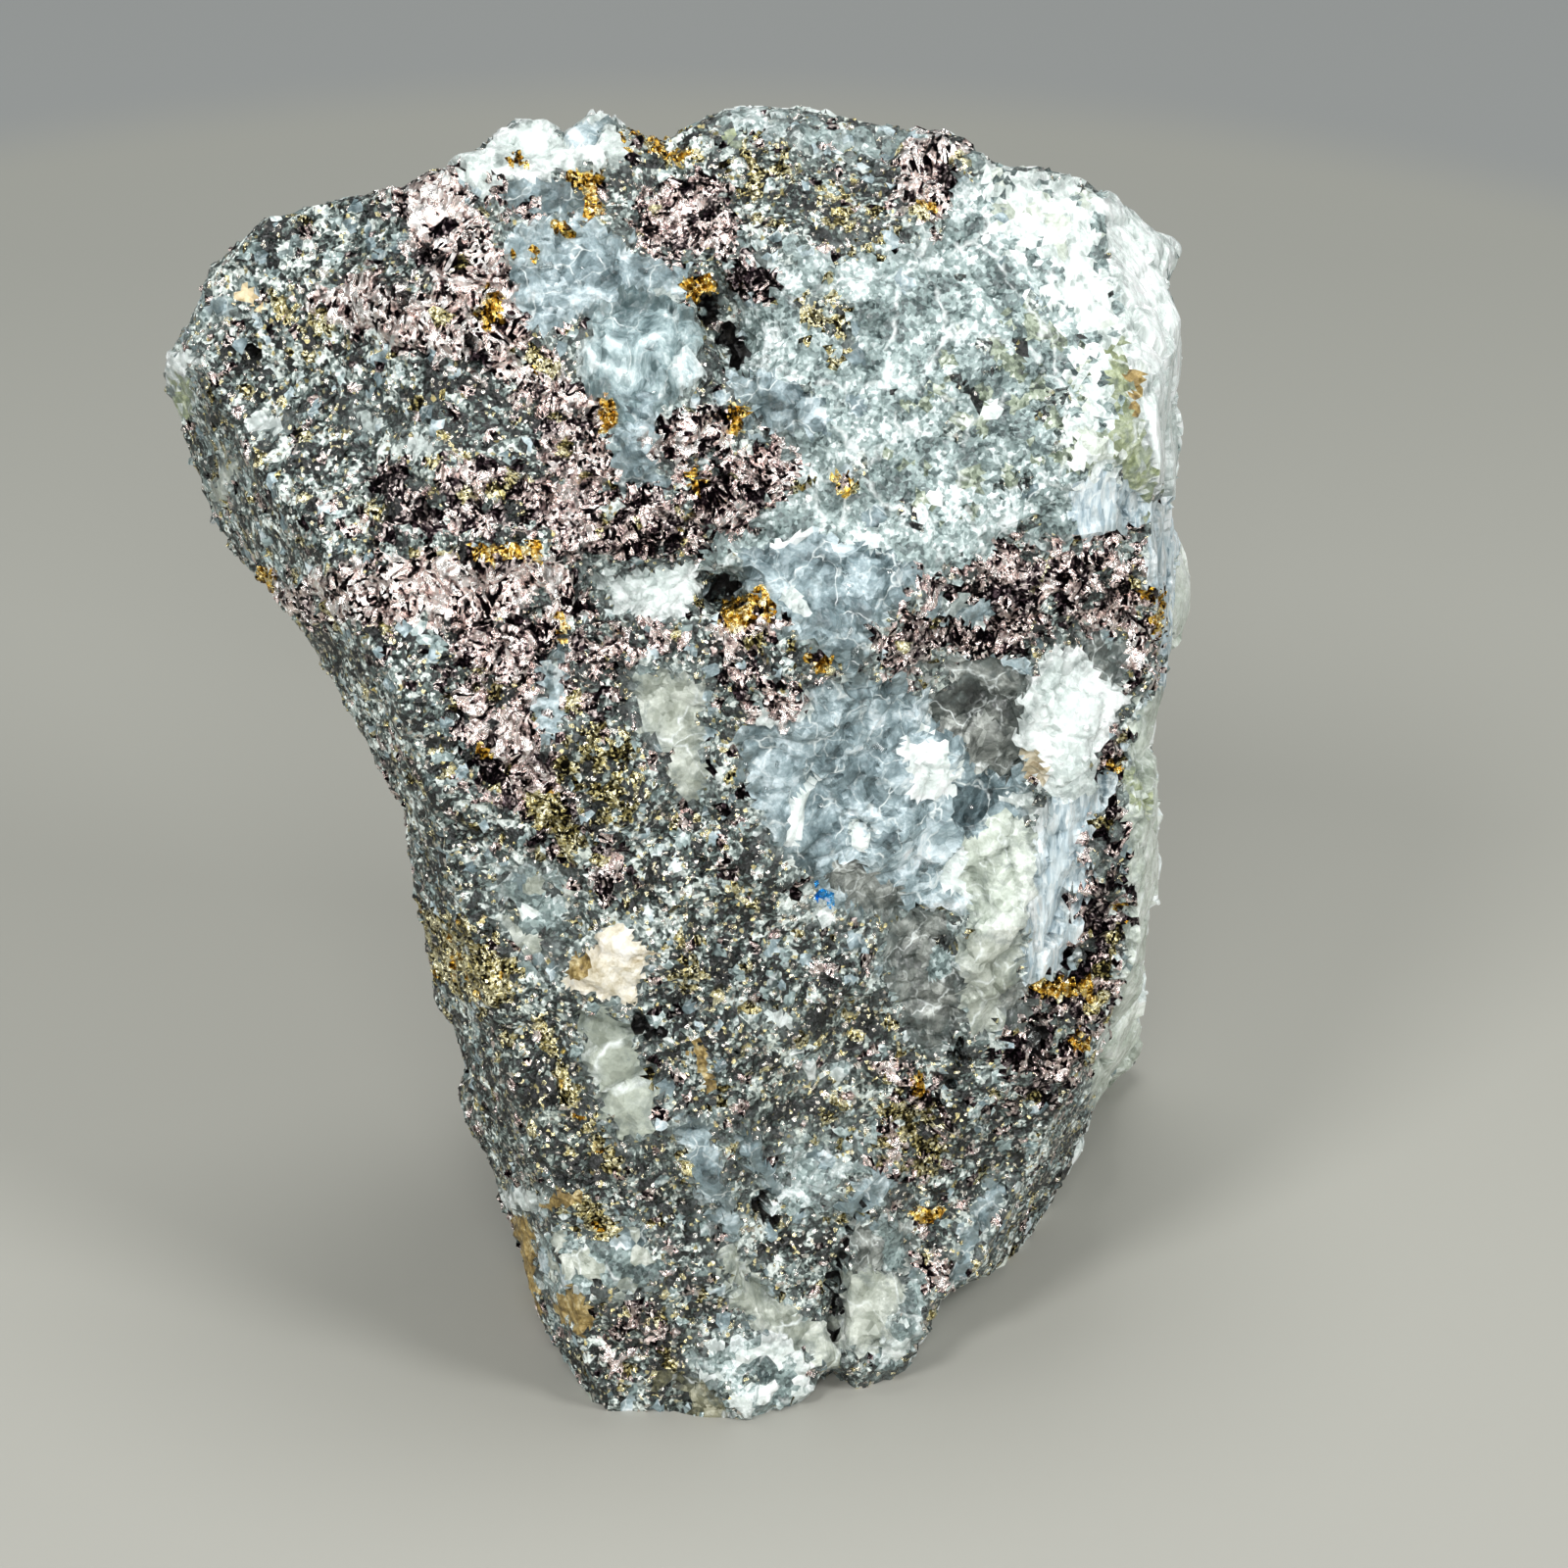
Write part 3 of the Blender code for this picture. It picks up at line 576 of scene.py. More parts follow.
    ("brassy specks by the cluster", "brassy ore", 0.47, [(3.07, 29.77), (3.43, 29.38)]),
    ("brassy specks of the crown", "brassy ore", AREA, [
        (3.28, 32.86), (3.85, 33.02), (4.16, 32.24), (4.81, 31.98), (4.68, 31.3), (3.38, 31.46),
        (3.25, 32.11)
    ]),
    ("brassy specks of the crown, left", "brassy ore", AREA, [
        (0.83, 34.01), (2.08, 34.11), (2.47, 33.33), (1.56, 33.02), (0.91, 33.28)
    ]),
    ("brassy specks of the column", "brassy ore", AREA, [
        (-4.16, 18.25), (-3.12, 18.51), (-1.95, 18.3), (-2.08, 17.42), (-1.56, 16.38), (-2.6, 15.99),
        (-3.38, 17.16), (-4.0, 17.42)
    ]),
    ("bright brass of the column", "bright brass", AREA, [
        (-4.73, 16.85), (-4.16, 17.0), (-3.64, 16.64), (-3.25, 15.6), (-3.64, 15.08), (-4.16, 15.86),
        (-4.68, 16.25)
    ]),
    ("brassy specks of the left", "bright brass", AREA, [
        (-7.54, 13.78), (-6.5, 13.65), (-5.72, 13.0), (-4.89, 11.96), (-5.2, 11.31), (-6.24, 11.28),
        (-7.28, 12.22)
    ]),
    ("bright brass of the left", "bright brass", 0.31, [(-5.98, 11.75), (-5.1, 11.96)]),
    ("brassy specks by the cream patch", "brassy ore", 0.29, [(-0.68, 13.13), (-0.36, 12.22)]),
    ("brassy vein", "bright brass", 0.13, [
        (-4.42, 10.92), (-4.11, 10.14), (-3.8, 9.52), (-3.48, 8.42), (-2.94, 7.75), (-2.34, 7.02)
    ]),
    ("brassy specks low left", "bright brass", 0.36, [(-3.12, 5.72), (-2.81, 5.3)]),
    ("brassy specks low right", "brassy ore", AREA, [
        (4.81, 8.84), (5.98, 8.71), (6.24, 7.28), (5.72, 6.76), (4.81, 7.02)
    ]),
    ("brassy grains low down", "bright brass", 0.18, [(3.17, 8.74), (3.64, 8.68)]),
    ("brassy speck of the lobe's foot", "bright brass", 0.23, [(-4.81, 28.5), (-3.95, 27.98)]),
    ("brassy fringe over the lobe", "brassy ore", 0.23, [(-11.02, 29.69), (-10.66, 29.48)]),
    ("gold of the cap", "native gold", 0.16, [(-5.25, 33.64), (-4.84, 33.49)]),
    ("gold bar of the crown", "native gold", 0.16, [(-3.56, 33.23), (-2.86, 33.25)]),
    ("gold of the crown, left", "native gold", 0.21, [(-2.94, 33.18), (-2.99, 32.29)]),
    ("gold of the crown", "native gold", 0.21, [(-2.03, 34.14), (-1.35, 34.11)]),
    ("gold of the crown, right", "native gold", 0.18, [(-1.2, 33.85), (-0.52, 33.75)]),
    ("gold speck under the cap", "native gold", 0.16, [(-4.0, 31.82), (-3.69, 31.77)]),
    ("gold specks left of it", "native gold", 0.13, [(-5.3, 31.25), (-5.1, 31.3)]),
    ("gold speck left of it", "native gold", 0.13, [(-4.65, 31.3), (-4.52, 31.2)]),
    ("gold speck of the lobe", "native gold", 0.26, [(-5.75, 29.85), (-5.64, 29.59)]),
    ("gold over the upper vug", "native gold", 0.31, [(-0.42, 30.34), (-0.05, 30.26)]),
    ("gold thread right of the vug", "native gold", 0.16, [(0.88, 27.09), (0.83, 26.68)]),
    ("gold of the left edge", "native gold", 0.21, [(-11.65, 22.78), (-11.54, 22.52)]),
    ("gold on the pink band", "native gold", 0.23, [(-5.98, 23.4), (-5.2, 23.19), (-4.58, 23.35)]),
    ("large gold", "native gold", 0.34, [(0.62, 21.63), (1.51, 21.84)]),
    ("gold beside it", "native gold", 0.21, [(2.91, 20.49), (3.22, 20.23)]),
    ("gold of the column", "native gold", 0.18, [(-3.85, 21.42), (-3.69, 21.16)]),
    ("gold in the band", "native gold", 0.18, [(-0.42, 25.22), (-0.1, 24.96)]),
    ("gold under the cluster", "native gold", 0.16, [(-2.7, 27.04), (-2.55, 26.78)]),
    ("gold in the pale mass", "native gold", 0.16, [(3.54, 25.22), (3.95, 25.17)]),
    ("gold in the pale mass, lower", "native gold", 0.1, [(3.59, 25.17), (3.64, 24.86)]),
    ("gold of the right crown", "native gold", 0.16, [(5.88, 32.6), (5.98, 32.34)]),
    ("gold of the right band", "native gold", 0.16, [(11.6, 22.26), (11.86, 22.2)]),
    ("gold of the right band, lower", "native gold", 0.13, [(11.8, 21.79), (11.91, 21.42)]),
    ("gold of the right edge", "native gold", 0.23, [(8.89, 11.86), (9.26, 11.65)]),
    ("gold of the right edge, outer", "native gold", 0.29, [(9.67, 11.75), (10.04, 11.65)]),
    ("gold speck of the right edge", "native gold", 0.18, [(9.78, 10.3), (9.98, 10.4)]),
    ("gold of the rib", "native gold", 0.13, [(10.82, 17.81), (10.76, 17.63)]),
    ("gold grain beside the rib", "native gold", 0.13, [(11.05, 13.78), (11.08, 13.68)]),
    ("gold low right", "native gold", 0.21, [(5.62, 5.62), (5.98, 5.72)]),
    ("gold of the low telluride", "native gold", 0.16, [(5.62, 9.26), (5.82, 9.0)]),
    ("gold speck of the left column", "native gold", 0.16, [(-5.88, 18.1), (-5.72, 17.94)]),
    # The vugs, pits, cracks and slits below are painted near black: painted shade inside hollows.
    ("upper vug", "vug", 0.23, [(0.1, 30.0), (0.16, 29.59)]),
    ("upper vug, lower", "vug", 0.18, [(0.62, 29.12), (0.83, 28.7), (0.94, 28.18)]),
    ("open vug", "vug", AREA, [
        (-0.16, 22.62), (0.21, 22.57), (0.47, 22.83), (0.62, 22.52), (0.94, 22.52), (0.68, 22.26),
        (0.73, 22.0), (0.31, 22.16), (-0.05, 22.05), (0.1, 22.36)
    ]),
    ("pit under the cream patch", "vug", 0.2, [(-1.82, 10.92), (-1.3, 10.5)]),
    ("pit of the left tip", "vug", 0.18, [(-12.06, 28.81), (-12.01, 28.65)]),
    ("pits of the lobe", "vug", 0.10, [(-8.94, 30.0), (-8.74, 29.9)]),
    ("pits of the lobe, right", "vug", 0.10, [(-7.85, 30.0), (-7.75, 29.93)]),
    ("pits under the lobe", "vug", 0.1, [(-6.71, 28.96), (-6.68, 28.86)]),
    ("pits under the lobe, right", "vug", 0.13, [(-6.19, 28.96), (-6.14, 28.86)]),
    ("pit of the foot", "vug", 0.2, [(1.46, 6.08), (1.72, 5.51)]),
    ("crack of the foot plate", "vug", 0.1, [(4.11, 6.11), (3.67, 5.23), (3.51, 3.93), (3.46, 2.44)]),
    ("slit beside the smoky quartz", "vug", 0.09, [(6.75, 10.6), (6.7, 9.9), (6.5, 9.1)]),
    ("dark slit of the right edge", "vug", 0.16, [(8.84, 11.02), (8.89, 9.72)]),
    ("blue film", "blue film", 0.13, [(3.02, 14.35), (3.33, 13.99)]),
    ("pale plate under the film", "milky quartz", 0.16, [(2.96, 13.83), (3.43, 13.57)]),
]


def hex_colour(text):
    """The linear colour of an sRGB hex value."""
    channels = [int(text[i:i + 2], 16) / 255 for i in (0, 2, 4)]
    linear = [c / 12.92 if c <= 0.04045 else ((c + 0.055) / 1.055) ** 2.4 for c in channels]
    return (*linear, 1.0)


def add_node(tree, kind, inputs=None, **settings):
    """Adds a node with its settings. An input is a value, or a socket that feeds it."""
    node = tree.nodes.new(kind)
    for name, value in settings.items():
        setattr(node, name, value)
    for name, value in (inputs or {}).items():
        if isinstance(value, bpy.types.NodeSocket):
            tree.links.new(value, node.inputs[name])
        else:
            node.inputs[name].default_value = value
    return node


def new_material(name):
    material = bpy.data.materials.new(name)
    material.use_nodes = True
    return material, material.node_tree, material.node_tree.nodes["Principled BSDF"]


def colour_ramp(tree, factor, stops):
    """A ramp over the stops, each a place from 0 to 1 and an sRGB hex value."""
    ramp = add_node(tree, "ShaderNodeValToRGB", {"Fac": factor})
    elements = ramp.color_ramp.elements
    while len(elements) < len(stops):
        elements.new(0.5)
    for element, (place, text) in zip(elements, stops):
        element.position = place
        element.color = hex_colour(text)
    return ramp.outputs["Color"]


def blended(tree, parts):
    """Several patterns added up, each by its share."""
    total = 0.0
    for pattern, share in parts:
        total = add_node(
            tree, "ShaderNodeMath", {0: pattern, 1: share, 2: total}, operation="MULTIPLY_ADD"
        ).outputs[0]
    return total


def stone_place(tree, along=(1.0, 1.0, 1.0)):
    """Places on the stone. Below 1, a number in `along` draws every pattern out in that direction."""
    place = add_node(tree, "ShaderNodeTexCoord").outputs["Object"]
    return add_node(tree, "ShaderNodeVectorMath", {0: place, 1: along}, operation="MULTIPLY").outputs[0]


def grain_of(tree):
    """The random number that each modelled grain carries."""
    return add_node(tree, "ShaderNodeAttribute", attribute_name="grain_tone").outputs["Fac"]


def veil(tree, place, size_mm, contrast=0.17):
    """Cloudy mottling of this size, from 0 to 1."""
    cloud = add_node(
        tree, "ShaderNodeTexNoise",
        {"Vector": place, "Scale": 1 / (size_mm * MM), "Detail": 5.0, "Roughness": 0.68, "Distortion": 0.5},
    )
    spread = add_node(
        tree, "ShaderNodeMapRange",
        {"Value": cloud.outputs["Fac"], "From Min": 0.5 - contrast, "From Max": 0.5 + contrast},
    )
    return spread.outputs["Result"]


def specks_at(tree, place, size_mm):
    """Three random numbers for each speck, which is this long, wide and deep."""
    scaled = add_node(
        tree, "ShaderNodeVectorMath", {0: place, 1: tuple(1 / (side * MM) for side in size_mm)},
        operation="MULTIPLY",
    )
    cells = add_node(tree, "ShaderNodeTexVoronoi", {"Vector": scaled.outputs[0], "Scale": 1.0})
    return cells.outputs["Color"]


def turned_by_grain(tree, place, grain_mm):
    """The same places, turned a different way in each grain, so that flakes run a different way there."""
    grain = specks_at(tree, place, (grain_mm, grain_mm, grain_mm))
    spin = add_node(
        tree, "ShaderNodeVectorMath", {0: grain, "Scale": 2 * math.pi}, operation="SCALE"
    )
    turned = add_node(
        tree, "ShaderNodeVectorRotate", {"Vector": place, "Rotation": spin.outputs[0]},
        rotation_type="EULER_XYZ",
    )
    return turned.outputs["Vector"]


def glinting_normal(tree, specks, place, lean, pit_mm, pit_depth_mm):
    """The normal of broken faces too small to model: each speck leans its own way, and is pitted."""
    centred = add_node(
        tree, "ShaderNodeVectorMath", {0: specks, 1: (0.5, 0.5, 0.5)}, operation="SUBTRACT"
    )
    leaned = add_node(
        tree, "ShaderNodeVectorMath", {0: centred.outputs[0], "Scale": lean}, operation="SCALE"
    )
    surface = add_node(tree, "ShaderNodeNewGeometry")
    turned = add_node(
        tree, "ShaderNodeVectorMath", {0: surface.outputs["Normal"], 1: leaned.outputs[0]}, operation="ADD"
    )
    level = add_node(tree, "ShaderNodeVectorMath", {0: turned.outputs[0]}, operation="NORMALIZE")
    pits = add_node(
        tree, "ShaderNodeTexNoise",
        {"Vector": place, "Scale": 1 / (pit_mm * MM), "Detail": 4.0, "Roughness": 0.65, "Distortion": 0.8},
    )
    bump = add_node(
        tree, "ShaderNodeBump",
        {
            "Strength": 1.0, "Distance": pit_depth_mm * MM, "Height": pits.outputs["Fac"],
            "Normal": level.outputs[0],
        },
    )
    return bump.outputs["Normal"]


def darken_crevices_with_painted_shade(tree, colour, painted_shade_text, amount):
    """Darkens a colour in the crevices between grains, as painted shade."""
    crevice = add_node(tree, "ShaderNodeAttribute", attribute_name="crevice")
    share = add_node(
        tree, "ShaderNodeMapRange",
        {"Value": crevice.outputs["Fac"], "From Min": CREVICE_START, "To Max": amount},
    )
    shaded = add_node(
        tree, "ShaderNodeMix",
        {0: share.outputs["Result"], 6: colour, 7: hex_colour(painted_shade_text)},
        data_type="RGBA",
    )
    return shaded.outputs[2]


def border_fade(tree, colour, place, towards_text, amount):
    """Fades a colour towards that of the rock it grades into, more in some spots than in others."""
    border = add_node(tree, "ShaderNodeAttribute", attribute_name="border")
    spots = veil(tree, place, size_mm=0.35, contrast=0.12)
    share = add_node(tree, "ShaderNodeMath", {0: border.outputs["Fac"], 1: spots}, operation="MULTIPLY")
    faded = add_node(
        tree, "ShaderNodeMapRange", {"Value": share.outputs[0], "From Max": BORDER_FULL, "To Max": amount}
    )
    mixed = add_node(
        tree, "ShaderNodeMix",
        {0: faded.outputs["Result"], 6: colour, 7: hex_colour(towards_text)},
        data_type="RGBA",
    )
    return mixed.outputs[2]


def polish_by(tree, tone, shader, smoothest, roughest):
    """Lets the polish vary with the tone."""
    polish = add_node(
        tree, "ShaderNodeMapRange", {"Value": tone, "To Min": smoothest, "To Max": roughest}
    )
    tree.links.new(polish.outputs["Result"], shader.inputs["Roughness"])


def ore(name, stops, metal_share):
    """Ore in fine grains: quartz and dark tellurides crushed together, with metallic specks that flash."""
    material, tree, shader = new_material(name)
    place = stone_place(tree)
    specks = specks_at(tree, place, (0.10, 0.10, 0.10))
    numbers = add_node(tree, "ShaderNodeSeparateColor", {"Color": specks}).outputs
    tone = blended(
        tree,
        [
            (grain_of(tree), 0.28),
            (veil(tree, place, size_mm=0.45), 0.24),
            (veil(tree, place, size_mm=1.8), 0.23),
            (numbers["Red"], 0.25),
        ],
    )
    faded = border_fade(tree, colour_ramp(tree, tone, stops), place, "8E9A97", amount=0.5)
    # Painted shade: the colour is darker in the crevices between grains.
    colour = darken_crevices_with_painted_shade(tree, faded, "070807", amount=0.45)
    metal = add_node(
        tree, "ShaderNodeMath", {0: numbers["Green"], 1: 1 - metal_share}, operation="GREATER_THAN"
    )
    flash = colour_ramp(
        tree, numbers["Blue"], [(0.0, "F2E9E2"), (0.55, "FFFBF4"), (0.75, "F3EBC6"), (1.0, "D6C88E")]
    )
    base = add_node(tree, "ShaderNodeMix", {0: metal.outputs[0], 6: colour, 7: flash}, data_type="RGBA")
    tree.links.new(base.outputs[2], shader.inputs["Base Color"])
    tree.links.new(metal.outputs[0], shader.inputs["Metallic"])
    polish_by(tree, numbers["Blue"], shader, smoothest=0.08, roughest=0.30)
    shader.inputs["IOR"].default_value = ORE_IOR
    normal = glinting_normal(tree, specks, place, lean=1.0, pit_mm=0.12, pit_depth_mm=0.05)
    tree.links.new(normal, shader.inputs["Normal"])
    return material


def granular_ore():
    # Granular ore, broken: salt and pepper of grey quartz and black tellurides, with a faint green cast.
    stops = [(0.395, "030504"), (0.465, "18211F"), (0.53, "4B5955"), (0.61, "909E99"), (0.69, "EEF6F0")]
    return ore("granular_ore_broken", stops, metal_share=0.15)


def dark_ore():
    # Dark granular ore, broken: richer in tellurides, so most of it is nearly black.
    stops = [(0.38, "020303"), (0.47, "121916"), (0.55, "3C4743"), (0.64, "818E88"), (0.75, "DFE7DD")]
    return ore("dark_granular_ore_broken", stops, metal_share=0.14)


def quartz(name, stops, roughness, glow, grain_mm, veil_mm, shares, crack_mm=1.1, along=(1.0, 1.0, 1.0)):
    """Vein quartz, broken: glassy faces over a body that light soaks into, veiled and crackled white."""
    material, tree, shader = new_material(name)
    place = stone_place(tree, along)
    specks = specks_at(tree, place, (grain_mm, grain_mm, grain_mm))
    numbers = add_node(tree, "ShaderNodeSeparateColor", {"Color": specks}).outputs
    tone = blended(
        tree, list(zip((grain_of(tree), veil(tree, place, veil_mm), numbers["Red"]), shares))
    )
    body = colour_ramp(tree, tone, stops)
    bend = add_node(
        tree, "ShaderNodeTexNoise", {"Vector": place, "Scale": 1 / (CRACK_BEND_MM * MM), "Detail": 2.0}
    )
    bent = add_node(
        tree, "ShaderNodeVectorMath",
        {0: bend.outputs["Color"], 1: (CRACK_BEND_REACH * MM,) * 3, 2: place},
        operation="MULTIPLY_ADD",
    )
    cracks = add_node(
        tree, "ShaderNodeTexVoronoi", {"Vector": bent.outputs[0], "Scale": 1 / (crack_mm * MM)},
        feature="DISTANCE_TO_EDGE",
    )
    line = add_node(
        tree, "ShaderNodeMapRange",
        {"Value": cracks.outputs["Distance"], "From Max": CRACK_WIDTH, "To Min": CRACK_WHITE, "To Max": 0.0},
    )
    patches = veil(tree, place, size_mm=0.8, contrast=0.08)
    healed = add_node(tree, "ShaderNodeMath", {0: line.outputs["Result"], 1: patches}, operation="MULTIPLY")
    crackled = add_node(
        tree, "ShaderNodeMix", {0: healed.outputs[0], 6: body, 7: hex_colour("F6FCFA")}, data_type="RGBA"
    )
    faded = border_fade(tree, crackled.outputs[2], place, "6B7673", amount=0.62)
    # Painted shade: the colour is darker in the crevices between grains.
    colour = darken_crevices_with_painted_shade(tree, faded, "55605C", amount=0.22)
    tree.links.new(colour, shader.inputs["Base Color"])
    polish_by(tree, numbers["Green"], shader, *roughness)
    shader.inputs["IOR"].default_value = QUARTZ_IOR
    shader.inputs["Subsurface Weight"].default_value = glow
    shader.inputs["Subsurface Radius"].default_value = (1.0, 1.0, 0.95)
    shader.inputs["Subsurface Scale"].default_value = 0.25 * MM
    normal = glinting_normal(tree, specks, place, lean=0.55, pit_mm=0.2, pit_depth_mm=0.05)
    tree.links.new(normal, shader.inputs["Normal"])
    return material


def smoky_quartz():
    # Grey vein quartz, broken: dark glassy grains, tinted by the ore below them.
    stops = [(0.2, "1E211F"), (0.42, "4B4F4B"), (0.6, "868A84"), (0.85, "D2D6D0")]
    return quartz(
        "smoky_vein_quartz_broken", stops, roughness=(0.06, 0.25), glow=0.0, grain_mm=0.30, veil_mm=0.8,
        shares=(0.3, 0.5, 0.2),
    )


def pale_quartz():
    # Grey vein quartz, broken: translucent and glassy, with a cool cast and white bruises.
    stops = [(0.2, "3C4C50"), (0.38, "6B7E83"), (0.56, "95A8AD"), (0.72, "CFDEE3"), (0.88, "F8FDFE")]
    return quartz(
        "pale_vein_quartz_broken", stops, roughness=(0.06, 0.26), glow=0.3, grain_mm=0.26, veil_mm=1.0,
        shares=(0.25, 0.55, 0.2),
    )


def sugary_quartz():
    # Granular vein quartz, broken: like sugar, pale grey with grey-green shadows between the grains.
    stops = [(0.26, "3C4949"), (0.38, "687877"), (0.50, "889A98"), (0.62, "ACBDBB"), (0.78, "F4FCFC")]
    return quartz(
        "sugary_vein_quartz_broken", stops, roughness=(0.05, 0.26), glow=0.0, grain_mm=0.11,
        veil_mm=1.3, shares=(0.22, 0.46, 0.32), crack_mm=2.6,
    )


def milky_quartz():
    # Milky quartz, broken: full of tiny bubbles, so it is white and glows at its edges.
    stops = [(0.15, "ADB9B5"), (0.35, "D9E3DF"), (0.55, "F2F9F6"), (0.8, "FDFFFE")]
    return quartz(
        "milky_quartz_broken", stops, roughness=(0.12, 0.38), glow=0.45, grain_mm=0.22, veil_mm=1.2,
        shares=(0.3, 0.5, 0.2),
    )


def green_quartz():
    # Quartz stained by chlorite, broken: pale with a grey-green cast, a little waxy.
    stops = [(0.2, "9EA799"), (0.42, "C4CDC0"), (0.62, "E0E7DD"), (0.85, "F7FAF5")]
    return quartz(
        "chlorite_stained_quartz", stops, roughness=(0.14, 0.36), glow=0.35, grain_mm=0.24, veil_mm=1.1,
        shares=(0.25, 0.55, 0.2),
    )


def fibrous_quartz():
    # Quartz grown in fibres along the vein wall: white, striated up and down, silky.
    stops = [(0.18, "A2ADA9"), (0.38, "CDD7D3"), (0.58, "EAF1EE"), (0.8, "FDFFFE")]
    return quartz(
        "fibrous_vein_quartz", stops, roughness=(0.12, 0.36), glow=0.4, grain_mm=0.12, veil_mm=0.7,
        shares=(0.2, 0.5, 0.3), crack_mm=0.9, along=(1.0, 1.0, 0.16),
    )


def fibrous_blue_quartz():
    # Quartz grown in fibres, bluish: grey-blue streaks between white ones, silky.
    stops = [(0.2, "6C818C"), (0.38, "ACBFC8"), (0.56, "D7E4E8"), (0.78, "F9FDFD")]
    return quartz(
        "fibrous_blue_vein_quartz", stops, roughness=(0.1, 0.34), glow=0.3, grain_mm=0.10, veil_mm=0.6,
        shares=(0.2, 0.5, 0.3), crack_mm=0.9, along=(1.0, 1.0, 0.18),
    )


def flowing_quartz():
    # Clear vein quartz with flow lines, broken: pale blue-white, glassy, with white folds.
    stops = [(0.24, "4F6366"), (0.42, "879C9F"), (0.58, "AFC2C4"), (0.78, "EDF7F7")]
    return quartz(
        "veiled_vein_quartz", stops, roughness=(0.05, 0.2), glow=0.35, grain_mm=0.20, veil_mm=0.9,
        shares=(0.2, 0.65, 0.15), crack_mm=0.8, along=(1.0, 1.0, 0.45),
    )


def green_sugar():
    # Granular quartz with chlorite between its grains, broken: grey-green, glinting.
    stops = [(0.24, "343D35"), (0.40, "66725F"), (0.54, "8A9681"), (0.68, "B4BEAB"), (0.84, "F2F7EC")]
    return quartz(
        "chlorite_sugary_quartz", stops, roughness=(0.06, 0.28), glow=0.0, grain_mm=0.12, veil_mm=0.9,
        shares=(0.2, 0.4, 0.4), crack_mm=2.6,
    )


def lozenge_quartz():
    # A single large quartz grain, broken flat: pale grey-green, cloudy and smooth.
    stops = [(0.2, "8D9486"), (0.45, "A5AC9E"), (0.65, "B6BDAF"), (0.9, "CCD2C6")]
    return quartz(
        "cloudy_quartz_grain", stops, roughness=(0.3, 0.5), glow=0.3, grain_mm=0.3, veil_mm=1.6,
        shares=(0.1, 0.8, 0.1), crack_mm=3.5,
    )


def cream_quartz():
    # Vein quartz with a cream cast, broken: cloudy, smooth, a little waxy.
    stops = [(0.2, "848A7C"), (0.42, "ABB1A4"), (0.62, "CBD0C5"), (0.85, "EFF2EA")]
    return quartz(
        "cream_vein_quartz", stops, roughness=(0.14, 0.36), glow=0.35, grain_mm=0.22, veil_mm=1.1,
        shares=(0.25, 0.55, 0.2), crack_mm=1.6,
    )


def green_spar():
    # Chlorite and spar in scales, split along them: olive green, pearly.
    stops = [(0.2, "66704C"), (0.42, "8C966E"), (0.62, "B2BB96"), (0.85, "E6EBD6")]
    return quartz(
        "chlorite_stained_spar", stops, roughness=(0.2, 0.42), glow=0.0, grain_mm=0.14, veil_mm=0.7,
        shares=(0.25, 0.5, 0.25), crack_mm=2.0,
    )


def tan_spar():
    # A single spar grain, split along its cleavage: smooth, honey-coloured, waxy.
    stops = [(0.2, "B08A4E"), (0.5, "DDB879"), (0.8, "F3DFB4")]
    return quartz(
        "honey_spar_grain", stops, roughness=(0.2, 0.35), glow=0.3, grain_mm=0.3, veil_mm=1.2,
        shares=(0.1, 0.7, 0.2), crack_mm=3.0,
    )


def olive_rock():
    # Dark wall rock at the foot, broken: olive-brown and dull.
    stops = [(0.2, "1D1C14"), (0.42, "46452F"), (0.60, "7A785C"), (0.8, "B9B79F")]
    return quartz(
        "olive_wall_rock", stops, roughness=(0.3, 0.6), glow=0.0, grain_mm=0.12, veil_mm=0.6,
        shares=(0.3, 0.4, 0.3), crack_mm=2.5,
    )


def blue_film():
    # A thin tarnish film over quartz: bright blue, like oil on water.
    stops = [(0.2, "0F5FB8"), (0.45, "2A9BEA"), (0.65, "9AD3F4"), (0.85, "E6D2F2")]
    return metallic_mineral(
        "blue_tarnish_film", stops, roughness=(0.2, 0.35), grain_mm=0.6, flake_mm=(0.3, 0.12, 0.12),
        lean=0.3, crevice_painted_shade_text="1D2A33",
    )


def metallic_mineral(name, stops, roughness, grain_mm, flake_mm, lean, crevice_painted_shade_text):
    """A metallic mineral in broken grains: crumpled flakes like mirrors, each grain's running its own way."""
    material, tree, shader = new_material(name)
    place = stone_place(tree)
    specks = specks_at(tree, turned_by_grain(tree, place, grain_mm), flake_mm)
    numbers = add_node(tree, "ShaderNodeSeparateColor", {"Color": specks}).outputs
    tone = blended(
        tree,
        [
            (grain_of(tree), 0.16),
            (veil(tree, place, size_mm=0.35), 0.20),
            (veil(tree, place, size_mm=1.2), 0.26),
            (numbers["Red"], 0.38),
        ],
    )
    # Painted shade: the colour is darker in the crevices between grains.
    colour = darken_crevices_with_painted_shade(tree, colour_ramp(tree, tone, stops), crevice_painted_shade_text, amount=0.6)
    tree.links.new(colour, shader.inputs["Base Color"])
    polish_by(tree, numbers["Green"], shader, *roughness)
    shader.inputs["Metallic"].default_value = 1.0
    normal = glinting_normal(tree, specks, place, lean, pit_mm=0.14, pit_depth_mm=0.06)
    tree.links.new(normal, shader.inputs["Normal"])
    return material


def bright_telluride():
    # Hessite and coloradoite, freshly broken: crumpled silver with a pink cast, black in its folds, partly
    # coloradoite and partly painted shade.
    stops = [(0.35, "050304"), (0.42, "281D21"), (0.47, "BCA5A2"), (0.52, "FFE9E2"), (0.70, "FFF8F5")]
    return metallic_mineral(
        "hessite_coloradoite_broken", stops, roughness=(0.10, 0.34), grain_mm=0.50,
        flake_mm=(0.40, 0.10, 0.09), lean=1.1, crevice_painted_shade_text="0A0607",
    )


